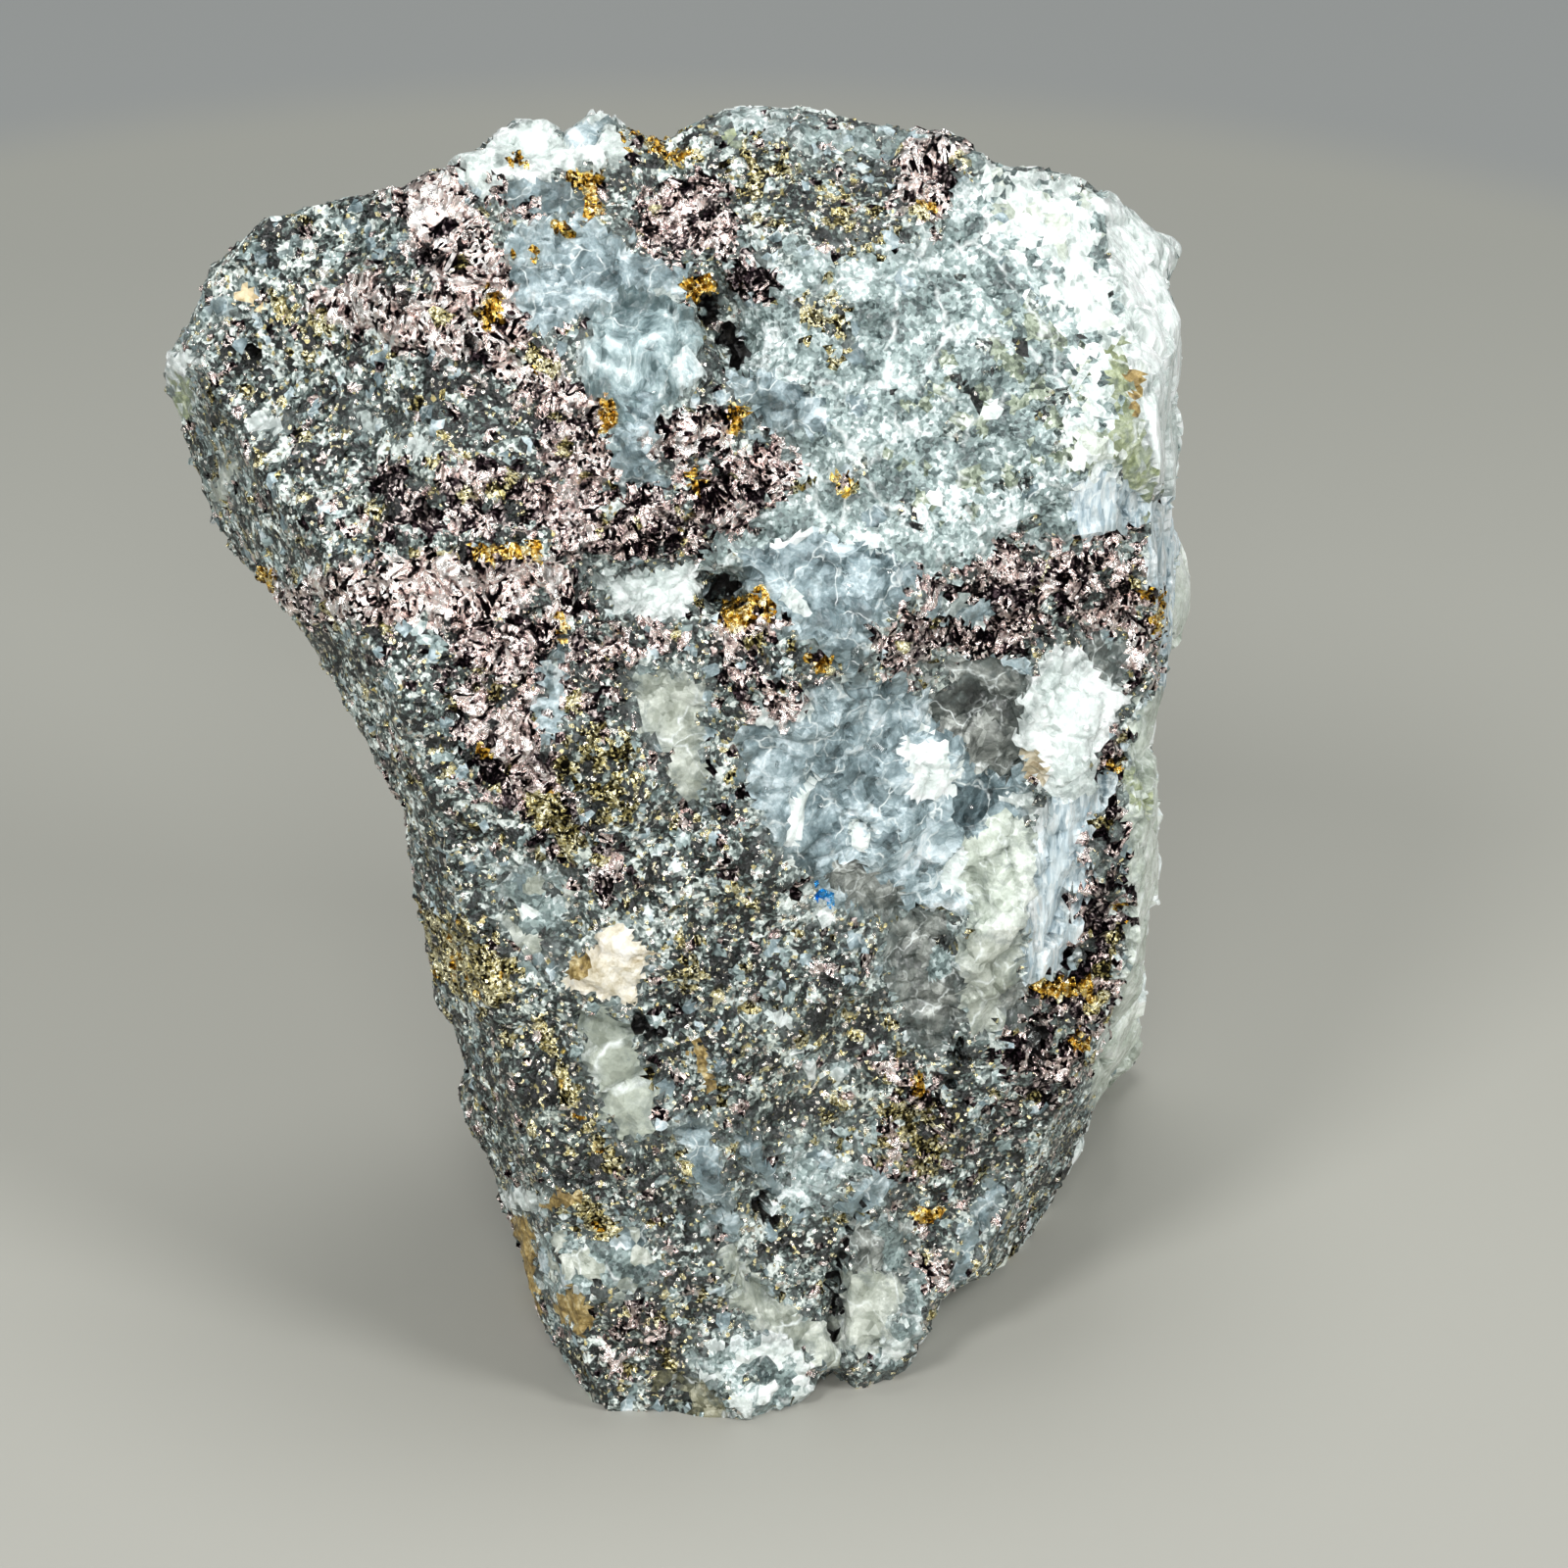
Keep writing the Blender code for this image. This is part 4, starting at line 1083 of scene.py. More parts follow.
def silvery_telluride():
    # Hessite where it is richest, freshly broken: crumpled bright silver, pinkish, with a little black
    # between, which is painted shade.
    stops = [(0.33, "050304"), (0.39, "2A1D21"), (0.43, "BFA59F"), (0.47, "FFE9E1"), (0.62, "FFFBF8")]
    return metallic_mineral(
        "hessite_broken_bright", stops, roughness=(0.12, 0.40), grain_mm=0.55,
        flake_mm=(0.46, 0.12, 0.10), lean=1.1, crevice_painted_shade_text="080506",
    )


def dark_telluride():
    # Coloradoite, tarnished: iron-black with a purple-brown cast, and a dull gloss.
    stops = [(0.36, "040304"), (0.48, "120D10"), (0.58, "42353A"), (0.70, "E3D4D0")]
    return metallic_mineral(
        "coloradoite_tarnished", stops, roughness=(0.18, 0.45), grain_mm=0.4,
        flake_mm=(0.26, 0.08, 0.08), lean=1.0, crevice_painted_shade_text="040303",
    )


def brassy_sulphide():
    # Pyrite and tellurides in fine grains, broken: pale brass with an olive cast.
    stops = [(0.33, "100E09"), (0.42, "554C2A"), (0.50, "C0B274"), (0.62, "FFF9D6")]
    return metallic_mineral(
        "pyrite_fine_grained", stops, roughness=(0.16, 0.40), grain_mm=0.3, flake_mm=(0.12, 0.07, 0.07),
        lean=1.1, crevice_painted_shade_text="0E0C07",
    )


def native_gold():
    # Native gold, torn apart with the rock: hackly, soft bright metal, with deep orange painted shade in its
    # folds and pale painted highlights.
    stops = [(0.32, "1E1204"), (0.41, "7E520E"), (0.50, "DBAA38"), (0.60, "FDDC7C"), (0.74, "FFF6CF")]
    return metallic_mineral(
        "native_gold_hackly", stops, roughness=(0.18, 0.38), grain_mm=0.35, flake_mm=(0.16, 0.09, 0.09),
        lean=0.9, crevice_painted_shade_text="2A1604",
    )


def altered_spar(name, stops, roughness, grain_mm, veil_mm, shares, crevice_painted_shade_text, crevice_painted_shade_share, lean):
    """Spar that has weathered: opaque and dull, its broken surface hardly glints."""
    material, tree, shader = new_material(name)
    place = stone_place(tree)
    specks = specks_at(tree, place, (grain_mm, grain_mm, grain_mm))
    tone = blended(tree, list(zip((grain_of(tree), veil(tree, place, veil_mm), specks), shares)))
    # Painted shade: the colour is darker in the crevices between grains.
    colour = darken_crevices_with_painted_shade(tree, colour_ramp(tree, tone, stops), crevice_painted_shade_text, crevice_painted_shade_share)
    tree.links.new(colour, shader.inputs["Base Color"])
    shader.inputs["Roughness"].default_value = roughness
    normal = glinting_normal(tree, specks, place, lean, pit_mm=0.2, pit_depth_mm=0.05)
    tree.links.new(normal, shader.inputs["Normal"])
    return material


def cream_spar():
    # Altered spar: opaque, cream, with a dull broken surface and brown painted shade in the crevices between
    # its grains.
    stops = [(0.15, "8E7C5C"), (0.35, "C4B99D"), (0.55, "E2DBC8"), (0.8, "FAF7EE")]
    return altered_spar(
        "cream_spar_altered", stops, roughness=0.5, grain_mm=0.14, veil_mm=0.9, shares=(0.2, 0.6, 0.2),
        crevice_painted_shade_text="6C5A3E", crevice_painted_shade_share=0.35, lean=0.3,
    )


def rusty_stain():
    # Iron-stained spar: yellow-brown ochre, dull, soaked into the vein's outer edge.
    stops = [(0.2, "453618"), (0.4, "7C6735"), (0.6, "AD955C"), (0.85, "E0D3A8")]
    return altered_spar(
        "iron_stained_spar", stops, roughness=0.45, grain_mm=0.12, veil_mm=0.5, shares=(0.2, 0.5, 0.3),
        crevice_painted_shade_text="3A2A12", crevice_painted_shade_share=0.4, lean=0.4,
    )


def vug_lining():
    # The walls of an open vug: dark ore, painted near black as the shade inside the hollow, where hardly any
    # light reaches.
    material, tree, shader = new_material("vug_lining_painted_shade")
    place = stone_place(tree)
    specks = specks_at(tree, place, (0.14, 0.14, 0.14))
    tone = blended(tree, [(grain_of(tree), 0.4), (veil(tree, place, size_mm=0.4), 0.3), (specks, 0.3)])
    colour = colour_ramp(tree, tone, [(0.3, "020202"), (0.6, "0A0A09"), (0.85, "3A3833")])
    tree.links.new(colour, shader.inputs["Base Color"])
    shader.inputs["Roughness"].default_value = 0.4
    normal = glinting_normal(tree, specks, place, lean=0.6, pit_mm=0.15, pit_depth_mm=0.05)
    tree.links.new(normal, shader.inputs["Normal"])
    return material


def clear_crystal():
    # Rock crystal, grown in small blades: clear, with sharp faces. It bends the light of what lies behind it.
    material, tree, shader = new_material("clear_rock_crystal")
    shader.inputs["Base Color"].default_value = hex_colour("F4FAFA")
    shader.inputs["Transmission Weight"].default_value = 1.0
    shader.inputs["IOR"].default_value = QUARTZ_IOR
    place = add_node(tree, "ShaderNodeTexCoord")
    haze = add_node(
        tree, "ShaderNodeTexNoise",
        {"Vector": place.outputs["Object"], "Scale": 1 / (0.4 * MM), "Detail": 3.0},
    )
    polish = add_node(
        tree, "ShaderNodeMapRange", {"Value": haze.outputs["Fac"], "To Min": 0.02, "To Max": 0.22}
    )
    tree.links.new(polish.outputs["Result"], shader.inputs["Roughness"])
    body = add_node(
        tree, "ShaderNodeVolumeAbsorption", {"Color": hex_colour("E4F0F0"), "Density": CRYSTAL_ABSORPTION}
    )
    tree.links.new(body.outputs["Volume"], tree.nodes["Material Output"].inputs["Volume"])
    return material


# The stone's minerals, in the order of its material slots.
MAKERS = {
    make.__name__: make
    for make in (
        granular_ore, dark_ore, smoky_quartz, pale_quartz, sugary_quartz, milky_quartz, green_quartz,
        bright_telluride, silvery_telluride, dark_telluride, brassy_sulphide, native_gold, cream_spar,
        vug_lining, fibrous_quartz, rusty_stain, flowing_quartz, fibrous_blue_quartz, green_sugar,
        lozenge_quartz, cream_quartz, green_spar, tan_spar, olive_rock, blue_film,
    )
}
MINERALS = list(MAKERS)


def face_place(points):
    """Where points, in mm, show on the rich face: how far right of the toe and up the face."""
    from_toe = points - TOE
    depth = from_toe @ TOWARDS_EYE
    spread = 1 + (SIGHT_DEPTH - depth) / EYE_DISTANCE
    right = FRAME_CENTRE[0] + (from_toe @ ACROSS - FRAME_CENTRE[0]) / spread
    up = FRAME_CENTRE[1] + (from_toe @ UP_THE_FACE - FRAME_CENTRE[1]) / spread
    return np.column_stack([right, up])


def line_distance(places, start, end):
    """How far each place lies from the line between two points, in mm."""
    start, end = np.array(start), np.array(end)
    way = end - start
    share = np.clip(((places - start) @ way) / max(way @ way, 1e-9), 0, 1)
    return np.linalg.norm(places - start - share[:, None] * way, axis=1)


def zone_reach(places, half_width, corners):
    """How far inside a zone each place lies, in mm; it is below 0 outside."""
    if half_width is not AREA:
        distances = [line_distance(places, a, b) for a, b in zip(corners, corners[1:])]
        return half_width - np.min(distances, axis=0)
    inside = np.zeros(len(places), bool)
    near = np.full(len(places), np.inf)
    for a, b in zip(corners, corners[1:] + corners[:1]):
        near = np.minimum(near, line_distance(places, a, b))
        crosses = (a[1] > places[:, 1]) != (b[1] > places[:, 1])
        slope = (b[0] - a[0]) / (b[1] - a[1]) if a[1] != b[1] else 0.0
        inside ^= crosses & (places[:, 0] < a[0] + (places[:, 1] - a[1]) * slope)
    return np.where(inside, near, -near)


def noise_at(points, size, seed):
    """Smooth noise of this size at points in mm, from about -1 to 1."""
    offset = Vector([seed * step for step in NOISE_STEP])
    return np.array([noise.noise(Vector(p) / size + offset) for p in points])


def random_of(cells, seed):
    """A steady random number from 0 to 1 for each cell centre."""
    mixed = np.sin(cells @ SCRAMBLE + seed * SCRAMBLE_STEP) * SCRAMBLE_REACH
    return mixed - np.floor(mixed)


def cells_at(points, size):
    """Centre of the grain that each point lies in, and how near the point is to the grain's edge."""
    centres = np.empty_like(points)
    edge = np.empty(len(points))
    for i, p in enumerate(points):
        distances, nearest = noise.voronoi(Vector(p) / size)
        centres[i] = nearest[0]
        edge[i] = distances[1] - distances[0]
    return centres * size, edge


def rocks_in_front(points):
    """What rocks_at says, for the rich face: the zones, one laid over the other."""
    names = list(ROCKS)
    places = face_place(points)
    for size, reach in WARP:
        places[:, 0] += reach * noise_at(points, size, seed=1)
        places[:, 1] += reach * noise_at(points, size, seed=2)
    pale = np.array([kind not in DARK_ROCKS for kind in names])
    rocks = np.full(len(points), names.index("ore"))
    depth = np.full(len(points), FAR_FROM_BORDER)
    for turn, (_, kind, half_width, corners) in enumerate(ZONES):
        stray = RAGGED.get(kind, 0.0) * (random_of(points, seed=turn + ZONE_SEED) - 0.5)
        reach = zone_reach(places, half_width, corners) + stray
        contrasts = pale[rocks] != pale[names.index(kind)]
        depth = np.where(contrasts, np.where(reach > 0, reach, np.minimum(depth, -reach)), depth)
        rocks[reach > 0] = names.index(kind)
    return rocks, depth


def rocks_behind(points):
    """What rocks_at says, for the sides and the back: a quartz vein in ore, with streaks along it."""
    names = list(ROCKS)
    vein = noise_at(points, VEIN_MM, seed=3) + VEIN_BENDS * noise_at(points, VEIN_BENDS_MM, seed=4)
    vein = vein + (points[:, 0] - VEIN_MIDDLE_MM) / VEIN_SPREAD_MM
    streak = noise_at(points * STREAK_ALONG, STREAK_MM, seed=5)
    streak = streak + STREAK_BENDS * noise_at(points, STREAK_BENDS_MM, seed=6)
    rocks = np.full(len(points), names.index("ore"))
    for kind, (vein_from, vein_to), (streak_from, streak_to) in BEHIND:
        in_vein = (vein > vein_from) & (vein < vein_to)
        in_streak = (streak > streak_from) & (streak < streak_to)
        rocks[in_vein & in_streak] = names.index(kind)
    return rocks, VEIN_FADE * np.abs(vein - VEIN_EDGE)


def rocks_at(points, normals):
    """Number of the kind of rock at each point, and how far it is from where pale rock meets dark, in mm."""
    front, front_depth = rocks_in_front(points)
    behind, behind_depth = rocks_behind(points)
    face_end = FACE_END + FACE_END_WAVES * noise_at(points, FACE_END_MM, seed=7)
    seen = normals @ TOWARDS_EYE > face_end
    return np.where(seen, front, behind), np.where(seen, front_depth, behind_depth)


def grains_at(points, normals):
    """For each point: its kind of rock, its depth in it, its grain's centre and edge, its mineral."""
    base, _ = cells_at(points, ZONE_GRAIN)
    microns = np.round(base * MICRONS_IN_MM).astype(int)
    _, first, which = np.unique(microns, axis=0, return_index=True, return_inverse=True)
    rocks, depths = (values[which.ravel()] for values in rocks_at(base[first], normals[first]))
    centres = np.empty_like(points)
    edges = np.empty(len(points))
    minerals = np.zeros(len(points), int)
    for number, (kind, (size, _, _, shares)) in enumerate(ROCKS.items()):
        chosen = np.flatnonzero(rocks == number)
        if not len(chosen):
            continue
        stretch = np.array([1.0, 1.0, DRAWN_OUT.get(kind, 1.0)])
        centres[chosen], edges[chosen] = cells_at(points[chosen] * stretch, size)
        centres[chosen] /= stretch
        draw = random_of(centres[chosen], seed=1)
        limits = np.cumsum(list(shares.values()))
        picks = np.minimum(np.searchsorted(limits, draw * limits[-1]), len(limits) - 1)
        minerals[chosen] = np.array([MINERALS.index(name) for name in shares])[picks]
    return rocks, depths, centres, edges, minerals


def arrays_of(mesh):
    """The mesh's points in mm, and their normals."""
    points = np.empty(len(mesh.vertices) * 3)
    normals = np.empty(len(mesh.vertices) * 3)
    mesh.vertices.foreach_get("co", points)
    mesh.vertex_normals.foreach_get("vector", normals)
    return points.reshape(-1, 3) / MM, normals.reshape(-1, 3)


def welded_solid():
    """A copy of the solid stone's mesh, whose faces share their corners."""
    mesh = frame["nodes"][STONE].data.copy()
    bm = bmesh.new()
    bm.from_mesh(mesh)
    bmesh.ops.remove_doubles(bm, verts=bm.verts, dist=WELD)
    bm.to_mesh(mesh)
    bm.free()
    return mesh


def move_points(mesh, points):
    """Moves the mesh's points to these places, in mm, and keeps them in the solid's own box."""
    lowest, highest = np.array(CAD_BOX[0]) / MM, np.array(CAD_BOX[1]) / MM
    mesh.vertices.foreach_set("co", (np.clip(points, lowest, highest) * MM).ravel())
    mesh.update()


def bare_stone():
    """A copy of the solid stone, eased a little, with triangles small enough to carry its grains."""
    stone = bpy.data.objects.new("ore_stone", welded_solid())
    bpy.context.scene.collection.objects.link(stone)
    bm = bmesh.new()
    bm.from_mesh(stone.data)
    bmesh.ops.triangulate(bm, faces=bm.faces)
    for _ in range(EDGE_PASSES):
        long_edges = [e for e in bm.edges if e.calc_length() / MM > edge_limit(e)]
        if not long_edges:
            break
        bmesh.ops.subdivide_edges(bm, edges=long_edges, cuts=1)
        bmesh.ops.triangulate(bm, faces=[f for f in bm.faces if len(f.verts) > 3])
    bmesh.ops.smooth_vert(
        bm, verts=bm.verts, factor=EASING, use_axis_x=True, use_axis_y=True, use_axis_z=True
    )
    for face in bm.faces:
        face.smooth = False
    bm.to_mesh(stone.data)
    bm.free()
    return stone


def edge_limit(edge):
    """How long an edge may be here, in mm."""
    normal = edge.verts[0].normal
    return FRONT_EDGE if normal.dot(Vector(TOWARDS_EYE)) > FRONT_LEAN else BACK_EDGE


def evaluated_copy(piece):
    """A plain mesh of the piece as its modifiers make it."""
    graph = bpy.context.evaluated_depsgraph_get()
    return bpy.data.meshes.new_from_object(piece.evaluated_get(graph))


def grain_facets(points, normals, rocks, centres, edges):
    """Height of the broken grains at each point, in mm: each grain is a flat facet with its own tilt."""
    tilts = np.array([tilt for _, tilt, _, _ in ROCKS.values()])[rocks]
    sizes = np.array([size for size, _, _, _ in ROCKS.values()])[rocks]
    proud = np.array([rise for _, _, rise, _ in ROCKS.values()])[rocks]
    lean = np.column_stack([random_of(centres, seed) - 0.5 for seed in (2, 3, 4)])
    lean -= normals * np.sum(lean * normals, axis=1)[:, None]
    height = np.clip(tilts * np.sum(lean * (points - centres), axis=1), -TILT_REACH, TILT_REACH)
    height += np.minimum(sizes * STEP_SHARE, STEP_REACH) * (random_of(centres, seed=5) - 0.5)
    return height + proud - sizes * GROOVE_DEPTH * np.exp(-edges / GROOVE_WIDTH)


def set_float(mesh, name, domain, values):
    """Stores a number for each point or face of the mesh, which materials and growth can read."""
    attribute = mesh.attributes.new(name, "FLOAT", domain)
    attribute.data.foreach_set("value", np.ascontiguousarray(values, np.float32))


def grain_stone(stone):
    """Breaks the stone's surface into grains, and gives each grain its mineral and its tone."""
    mesh = stone.data
    points, normals = arrays_of(mesh)
    rocks, depths, centres, edges, minerals = grains_at(points, normals)
    height = grain_facets(points, normals, rocks, centres, edges)
    facing = np.clip(np.abs(normals @ TOWARDS_EYE), RIM_SHARE, 1.0)
    for size, rise in BROAD_LUMPS:
        height += rise * facing * noise_at(points, size, seed=8)
    on_foot = (points[:, 2] < FOOT_HEIGHT) & (normals[:, 2] < FOOT_NORMAL)
    height[on_foot] = 0.0
    moved = points + normals * height[:, None]
    moved[on_foot, 2] = 0.0
    move_points(mesh, moved)
    # Nearness to a grain's edge, which the materials darken as painted shade.
    set_float(mesh, "crevice", "POINT", np.exp(-edges / CREVICE_WIDTH))
    set_float(mesh, "border", "POINT", np.exp(-depths / BORDER_MM))
    for number, name in enumerate(MINERALS):
        set_float(mesh, name, "POINT", (minerals == number).astype(float))
    corners = np.empty(len(mesh.loops), int)
    mesh.loops.foreach_get("vertex_index", corners)
    flat_middles = points[corners.reshape(-1, 3)].mean(axis=1)
    flat_normals = normals[corners.reshape(-1, 3)].mean(axis=1)
    _, _, face_centres, _, face_minerals = grains_at(flat_middles, flat_normals)
    mesh.polygons.foreach_set("material_index", face_minerals)
    set_float(mesh, "grain_tone", "FACE", random_of(face_centres, seed=6))


def shard(name, sides, length, lean, seed):
    """A broken crystal one unit across: a bevelled prism with uneven ends."""
    rng = np.random.default_rng(seed)
    bm = bmesh.new()
    rings = []
    for height, width in SHARD_RINGS:
        ring = []
        for k in range(sides):
            turn = 2 * math.pi * (k + SHARD_TURN * rng.random()) / sides
            reach = width / 2 * (SHARD_NEAREST + SHARD_SPREAD * rng.random())
            slope = lean * (rng.random() - 0.5)
            corner = (reach * math.cos(turn), reach * math.sin(turn), (height + slope) * length)
            ring.append(bm.verts.new(corner))
        rings.append(ring)
    for lower, upper in zip(rings, rings[1:]):
        for k in range(sides):
            bm.faces.new((lower[k], lower[(k + 1) % sides], upper[(k + 1) % sides], upper[k]))
    bm.faces.new(list(reversed(rings[0])))
    bm.faces.new(rings[-1])
    bmesh.ops.recalc_face_normals(bm, faces=bm.faces)
    mesh = bpy.data.meshes.new(name)
    bm.to_mesh(mesh)
    bm.free()
    return bpy.data.objects.new(name, mesh)


def crystal_shapes(name, recipes):
    """A collection of crystal shapes for the grains to be picked from."""
    shapes = bpy.data.collections.new(name)
    for number, (sides, length, lean) in enumerate(recipes):
        shapes.objects.link(shard(f"{name}_{number}", sides, length, lean, number + SHARD_SEED))
    return shapes


def scatter_tree(shapes, material):
    """Geometry nodes that grow crystals on the stone wherever an attribute says so."""
    tree = bpy.data.node_groups.new("crystal_growth", "GeometryNodeTree")
    sockets = tree.interface
    sockets.new_socket("Geometry", in_out="INPUT", socket_type="NodeSocketGeometry")
    for name, kind in (
        ("Where", "NodeSocketString"), ("Crystals per square metre", "NodeSocketFloat"),
        ("Smallest", "NodeSocketFloat"), ("Largest", "NodeSocketFloat"), ("Seed", "NodeSocketInt"),
        ("Upright", "NodeSocketFloat"),
    ):
        sockets.new_socket(name, in_out="INPUT", socket_type=kind)
    sockets.new_socket("Geometry", in_out="OUTPUT", socket_type="NodeSocketGeometry")
    given = add_node(tree, "NodeGroupInput").outputs
    where = add_node(tree, "GeometryNodeInputNamedAttribute", {"Name": given["Where"]}, data_type="FLOAT")
    density = add_node(
        tree, "ShaderNodeMath",
        {0: where.outputs["Attribute"], 1: given["Crystals per square metre"]},
        operation="MULTIPLY",
    )
    spots = add_node(
        tree, "GeometryNodeDistributePointsOnFaces",
        {"Mesh": given["Geometry"], "Density": density.outputs[0], "Seed": given["Seed"]},
    )
    turn = add_node(
        tree, "FunctionNodeRandomValue",
        {0: tuple(-turn for turn in ANY_TURN), 1: ANY_TURN, "Seed": given["Seed"]},
        data_type="FLOAT_VECTOR",
    )
    loose = add_node(tree, "FunctionNodeEulerToRotation", {"Euler": turn.outputs[0]})
    stood = add_node(tree, "ShaderNodeMix", {0: given["Upright"]}, data_type="ROTATION")
    tree.links.new(loose.outputs["Rotation"], rotation_input(stood, 0))
    tree.links.new(spots.outputs["Rotation"], rotation_input(stood, 1))
    chance = add_node(
        tree, "FunctionNodeRandomValue", {2: 0.0, 3: 1.0, "Seed": given["Seed"]}, data_type="FLOAT"
    )
    skewed = add_node(tree, "ShaderNodeMath", {0: chance.outputs[1], 1: SMALL_BIAS}, operation="POWER")
    size = add_node(
        tree, "ShaderNodeMapRange",
        {"Value": skewed.outputs[0], "To Min": given["Smallest"], "To Max": given["Largest"]},
    )
    picked = add_node(
        tree, "GeometryNodeCollectionInfo",
        {"Collection": shapes, "Separate Children": True, "Reset Children": True},
    )
    grown = add_node(
        tree, "GeometryNodeInstanceOnPoints",
        {
            "Points": spots.outputs["Points"], "Instance": picked.outputs["Instances"],
            "Pick Instance": True, "Rotation": rotation_output(stood), "Scale": size.outputs["Result"],
        },
    )
    tone = add_node(
        tree, "FunctionNodeRandomValue", {2: 0.0, 3: 1.0, "Seed": TONE_SEED}, data_type="FLOAT"
    )
    toned = add_node(
        tree, "GeometryNodeStoreNamedAttribute",
        {"Geometry": grown.outputs["Instances"], "Name": "grain_tone", "Value": tone.outputs[1]},
        data_type="FLOAT", domain="INSTANCE",
    )
    real = add_node(tree, "GeometryNodeRealizeInstances", {"Geometry": toned.outputs["Geometry"]})
    dressed = add_node(
        tree, "GeometryNodeSetMaterial", {"Geometry": real.outputs["Geometry"], "Material": material}
    )
    add_node(tree, "NodeGroupOutput", {"Geometry": dressed.outputs["Geometry"]})
    return tree


def rotation_input(node, which):
    """The node's first or second input for a rotation."""
    return [s for s in node.inputs if s.type == "ROTATION"][which]


def rotation_output(node):
    """The node's output for a rotation."""
    return [s for s in node.outputs if s.type == "ROTATION"][0]


def grow_crystals(stone, name, shapes, material, where, per_mm2, sizes_mm, seed, upright):
    """Grows crystals on the stone where its attribute is 1, as one mesh. Upright ones stand on end."""
    piece = bpy.data.objects.new(name, stone.data)
    bpy.context.scene.collection.objects.link(piece)
    growth = piece.modifiers.new("growth", "NODES")
    growth.node_group = scatter_tree(shapes, material)
    values = {
        "Where": where, "Crystals per square metre": per_mm2 / MM ** 2, "Smallest": sizes_mm[0] * MM,
        "Largest": sizes_mm[1] * MM, "Seed": seed, "Upright": upright,
    }
    for socket in growth.node_group.interface.items_tree:
        if socket.in_out == "INPUT" and socket.name in values:
            growth[socket.identifier] = values[socket.name]
    grown = evaluated_copy(piece)
    piece.modifiers.clear()
    piece.data = grown
    grown.name = name
    points, _ = arrays_of(grown)
    move_points(grown, points)
    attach(piece, "root")


def ore_stone():
    """The stone itself, broken from its vein, and the crystals and flakes that stand proud of it."""
    stone = bare_stone()
    materials = {name: make() for name, make in MAKERS.items()}
    stone.data.materials.clear()
    for material in materials.values():
        stone.data.materials.append(material)
    grain_stone(stone)
    shapes = {name: crystal_shapes(name, recipes) for name, recipes in SHAPES.items()}
    glass = clear_crystal()
    for name, shape, where, per_mm2, sizes_mm, seed, upright in CRYSTALS:
        material = glass if shape == "blade" else materials[where]
        grow_crystals(stone, name, shapes[shape], material, where, per_mm2, sizes_mm, seed, upright)
    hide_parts(STONE)
    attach(stone, "root")
    for collection in shapes.values():
        for shape in list(collection.objects):
            bpy.data.objects.remove(shape)
        bpy.data.collections.remove(collection)


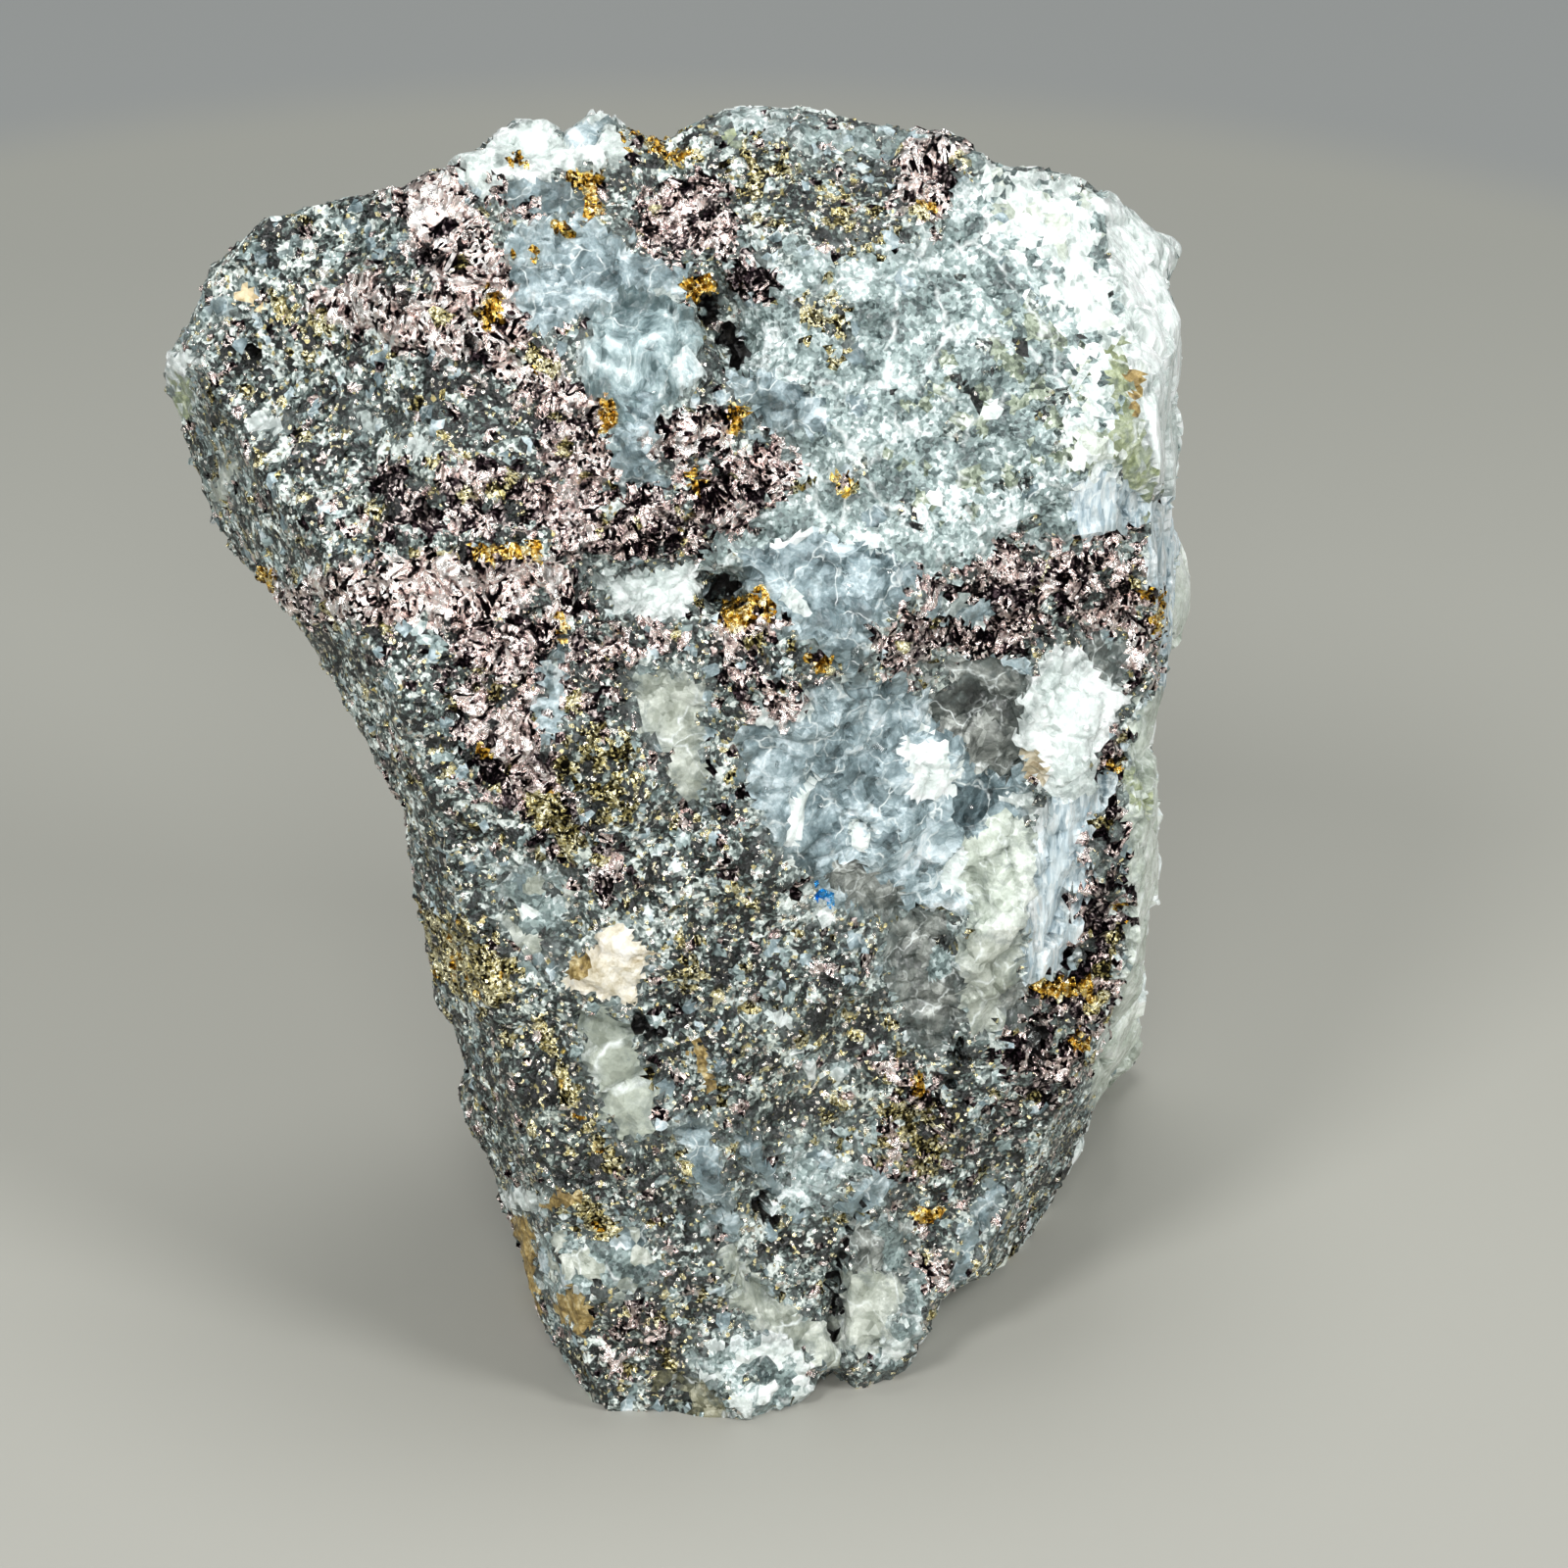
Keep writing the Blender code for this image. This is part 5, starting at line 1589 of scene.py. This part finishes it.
def studio_table():
    # Round display plate, sprayed with matt paint: pale grey and even, with painted shade that darkens it a
    # little to the rear. The backdrop round it is darker and bluer. Both lie level at the height of the
    # stone's foot.
    side = BACKDROP_REACH * MM
    mesh = bpy.data.meshes.new("table_top")
    corners = [(-side, -side, 0), (side, -side, 0), (side, side, 0), (-side, side, 0)]
    mesh.from_pydata(corners, [], [(0, 1, 2, 3)])
    table = bpy.data.objects.new("table_top", mesh)
    bpy.context.scene.collection.objects.link(table)
    material, tree, shader = new_material("painted_display_plate")
    place = add_node(tree, "ShaderNodeTexCoord").outputs["Object"]
    rear = add_node(tree, "ShaderNodeSeparateXYZ", {"Vector": place})
    backwards = add_node(
        tree, "ShaderNodeMapRange",
        {"Value": rear.outputs["Y"], "From Min": -PLATE_RADIUS * MM, "From Max": PLATE_RADIUS * MM},
    )
    # Painted shade: the plate's colour darkens towards the rear.
    stops = [(0.15, "A9A8A1"), (0.6, "A1A098"), (1.0, "93938C")]
    plate = colour_ramp(tree, backwards.outputs["Result"], stops)
    centre = tuple(part * MM for part in PLATE_CENTRE)
    reach = add_node(tree, "ShaderNodeVectorMath", {0: place, 1: centre}, operation="DISTANCE")
    beyond = add_node(
        tree, "ShaderNodeMapRange",
        {
            "Value": reach.outputs["Value"], "From Min": (PLATE_RADIUS - PLATE_RIM) * MM,
            "From Max": (PLATE_RADIUS + PLATE_RIM) * MM,
        },
        interpolation_type="SMOOTHSTEP",
    )
    colour = add_node(
        tree, "ShaderNodeMix", {0: beyond.outputs["Result"], 6: plate, 7: hex_colour("8A8C8B")},
        data_type="RGBA",
    )
    tree.links.new(colour.outputs[2], shader.inputs["Base Color"])
    shader.inputs["Roughness"].default_value = 0.55
    mesh.materials.append(material)


def soft_box(name, place_mm, size_mm, watts):
    """A round soft box with white light at a place in mm, turned towards the middle of the stone."""
    light = bpy.data.lights.new(name, "AREA")
    light.shape = "DISK"
    light.size = size_mm * MM
    light.energy = watts
    lamp = bpy.data.objects.new(name, light)
    lamp.location = Vector(place_mm) * MM
    to_stone = Vector(STONE_MIDDLE) * MM - lamp.location
    lamp.rotation_euler = to_stone.to_track_quat("-Z", "Y").to_euler()
    bpy.context.scene.collection.objects.link(lamp)


def studio_light():
    """Soft boxes at both sides, over the camera, on top and low in front, in a pale, even surround."""
    world = bpy.data.worlds.new("soft_studio")
    bpy.context.scene.world = world
    world.use_nodes = True
    sky = world.node_tree.nodes["Background"]
    sky.inputs["Color"].default_value = hex_colour("E6EBEA")
    sky.inputs["Strength"].default_value = SKY_STRENGTH
    for name, (place_mm, size_mm, watts) in SOFT_BOXES.items():
        soft_box(name, place_mm, size_mm, watts)
    bpy.context.scene.view_settings.view_transform = "Standard"


def studio_camera():
    """The photograph's own view, whose frame is as wide as the photograph's at the plane it looks at."""
    camera = bpy.data.cameras.new("camera")
    camera.angle = 2 * math.atan(FRAME_PIXELS / 2 * PIXEL_MM / EYE_DISTANCE)
    camera.clip_start = 5 * MM
    camera.clip_end = 5.0
    holder = bpy.data.objects.new("camera", camera)
    target = TOE + ACROSS * FRAME_CENTRE[0] + UP_THE_FACE * FRAME_CENTRE[1] + TOWARDS_EYE * SIGHT_DEPTH
    holder.location = Vector(target + TOWARDS_EYE * EYE_DISTANCE) * MM
    holder.rotation_euler = (-Vector(TOWARDS_EYE)).to_track_quat("-Z", "Y").to_euler()
    bpy.context.scene.collection.objects.link(holder)
    bpy.context.scene.camera = holder


studio_camera()
studio_light()
studio_table()
ore_stone()
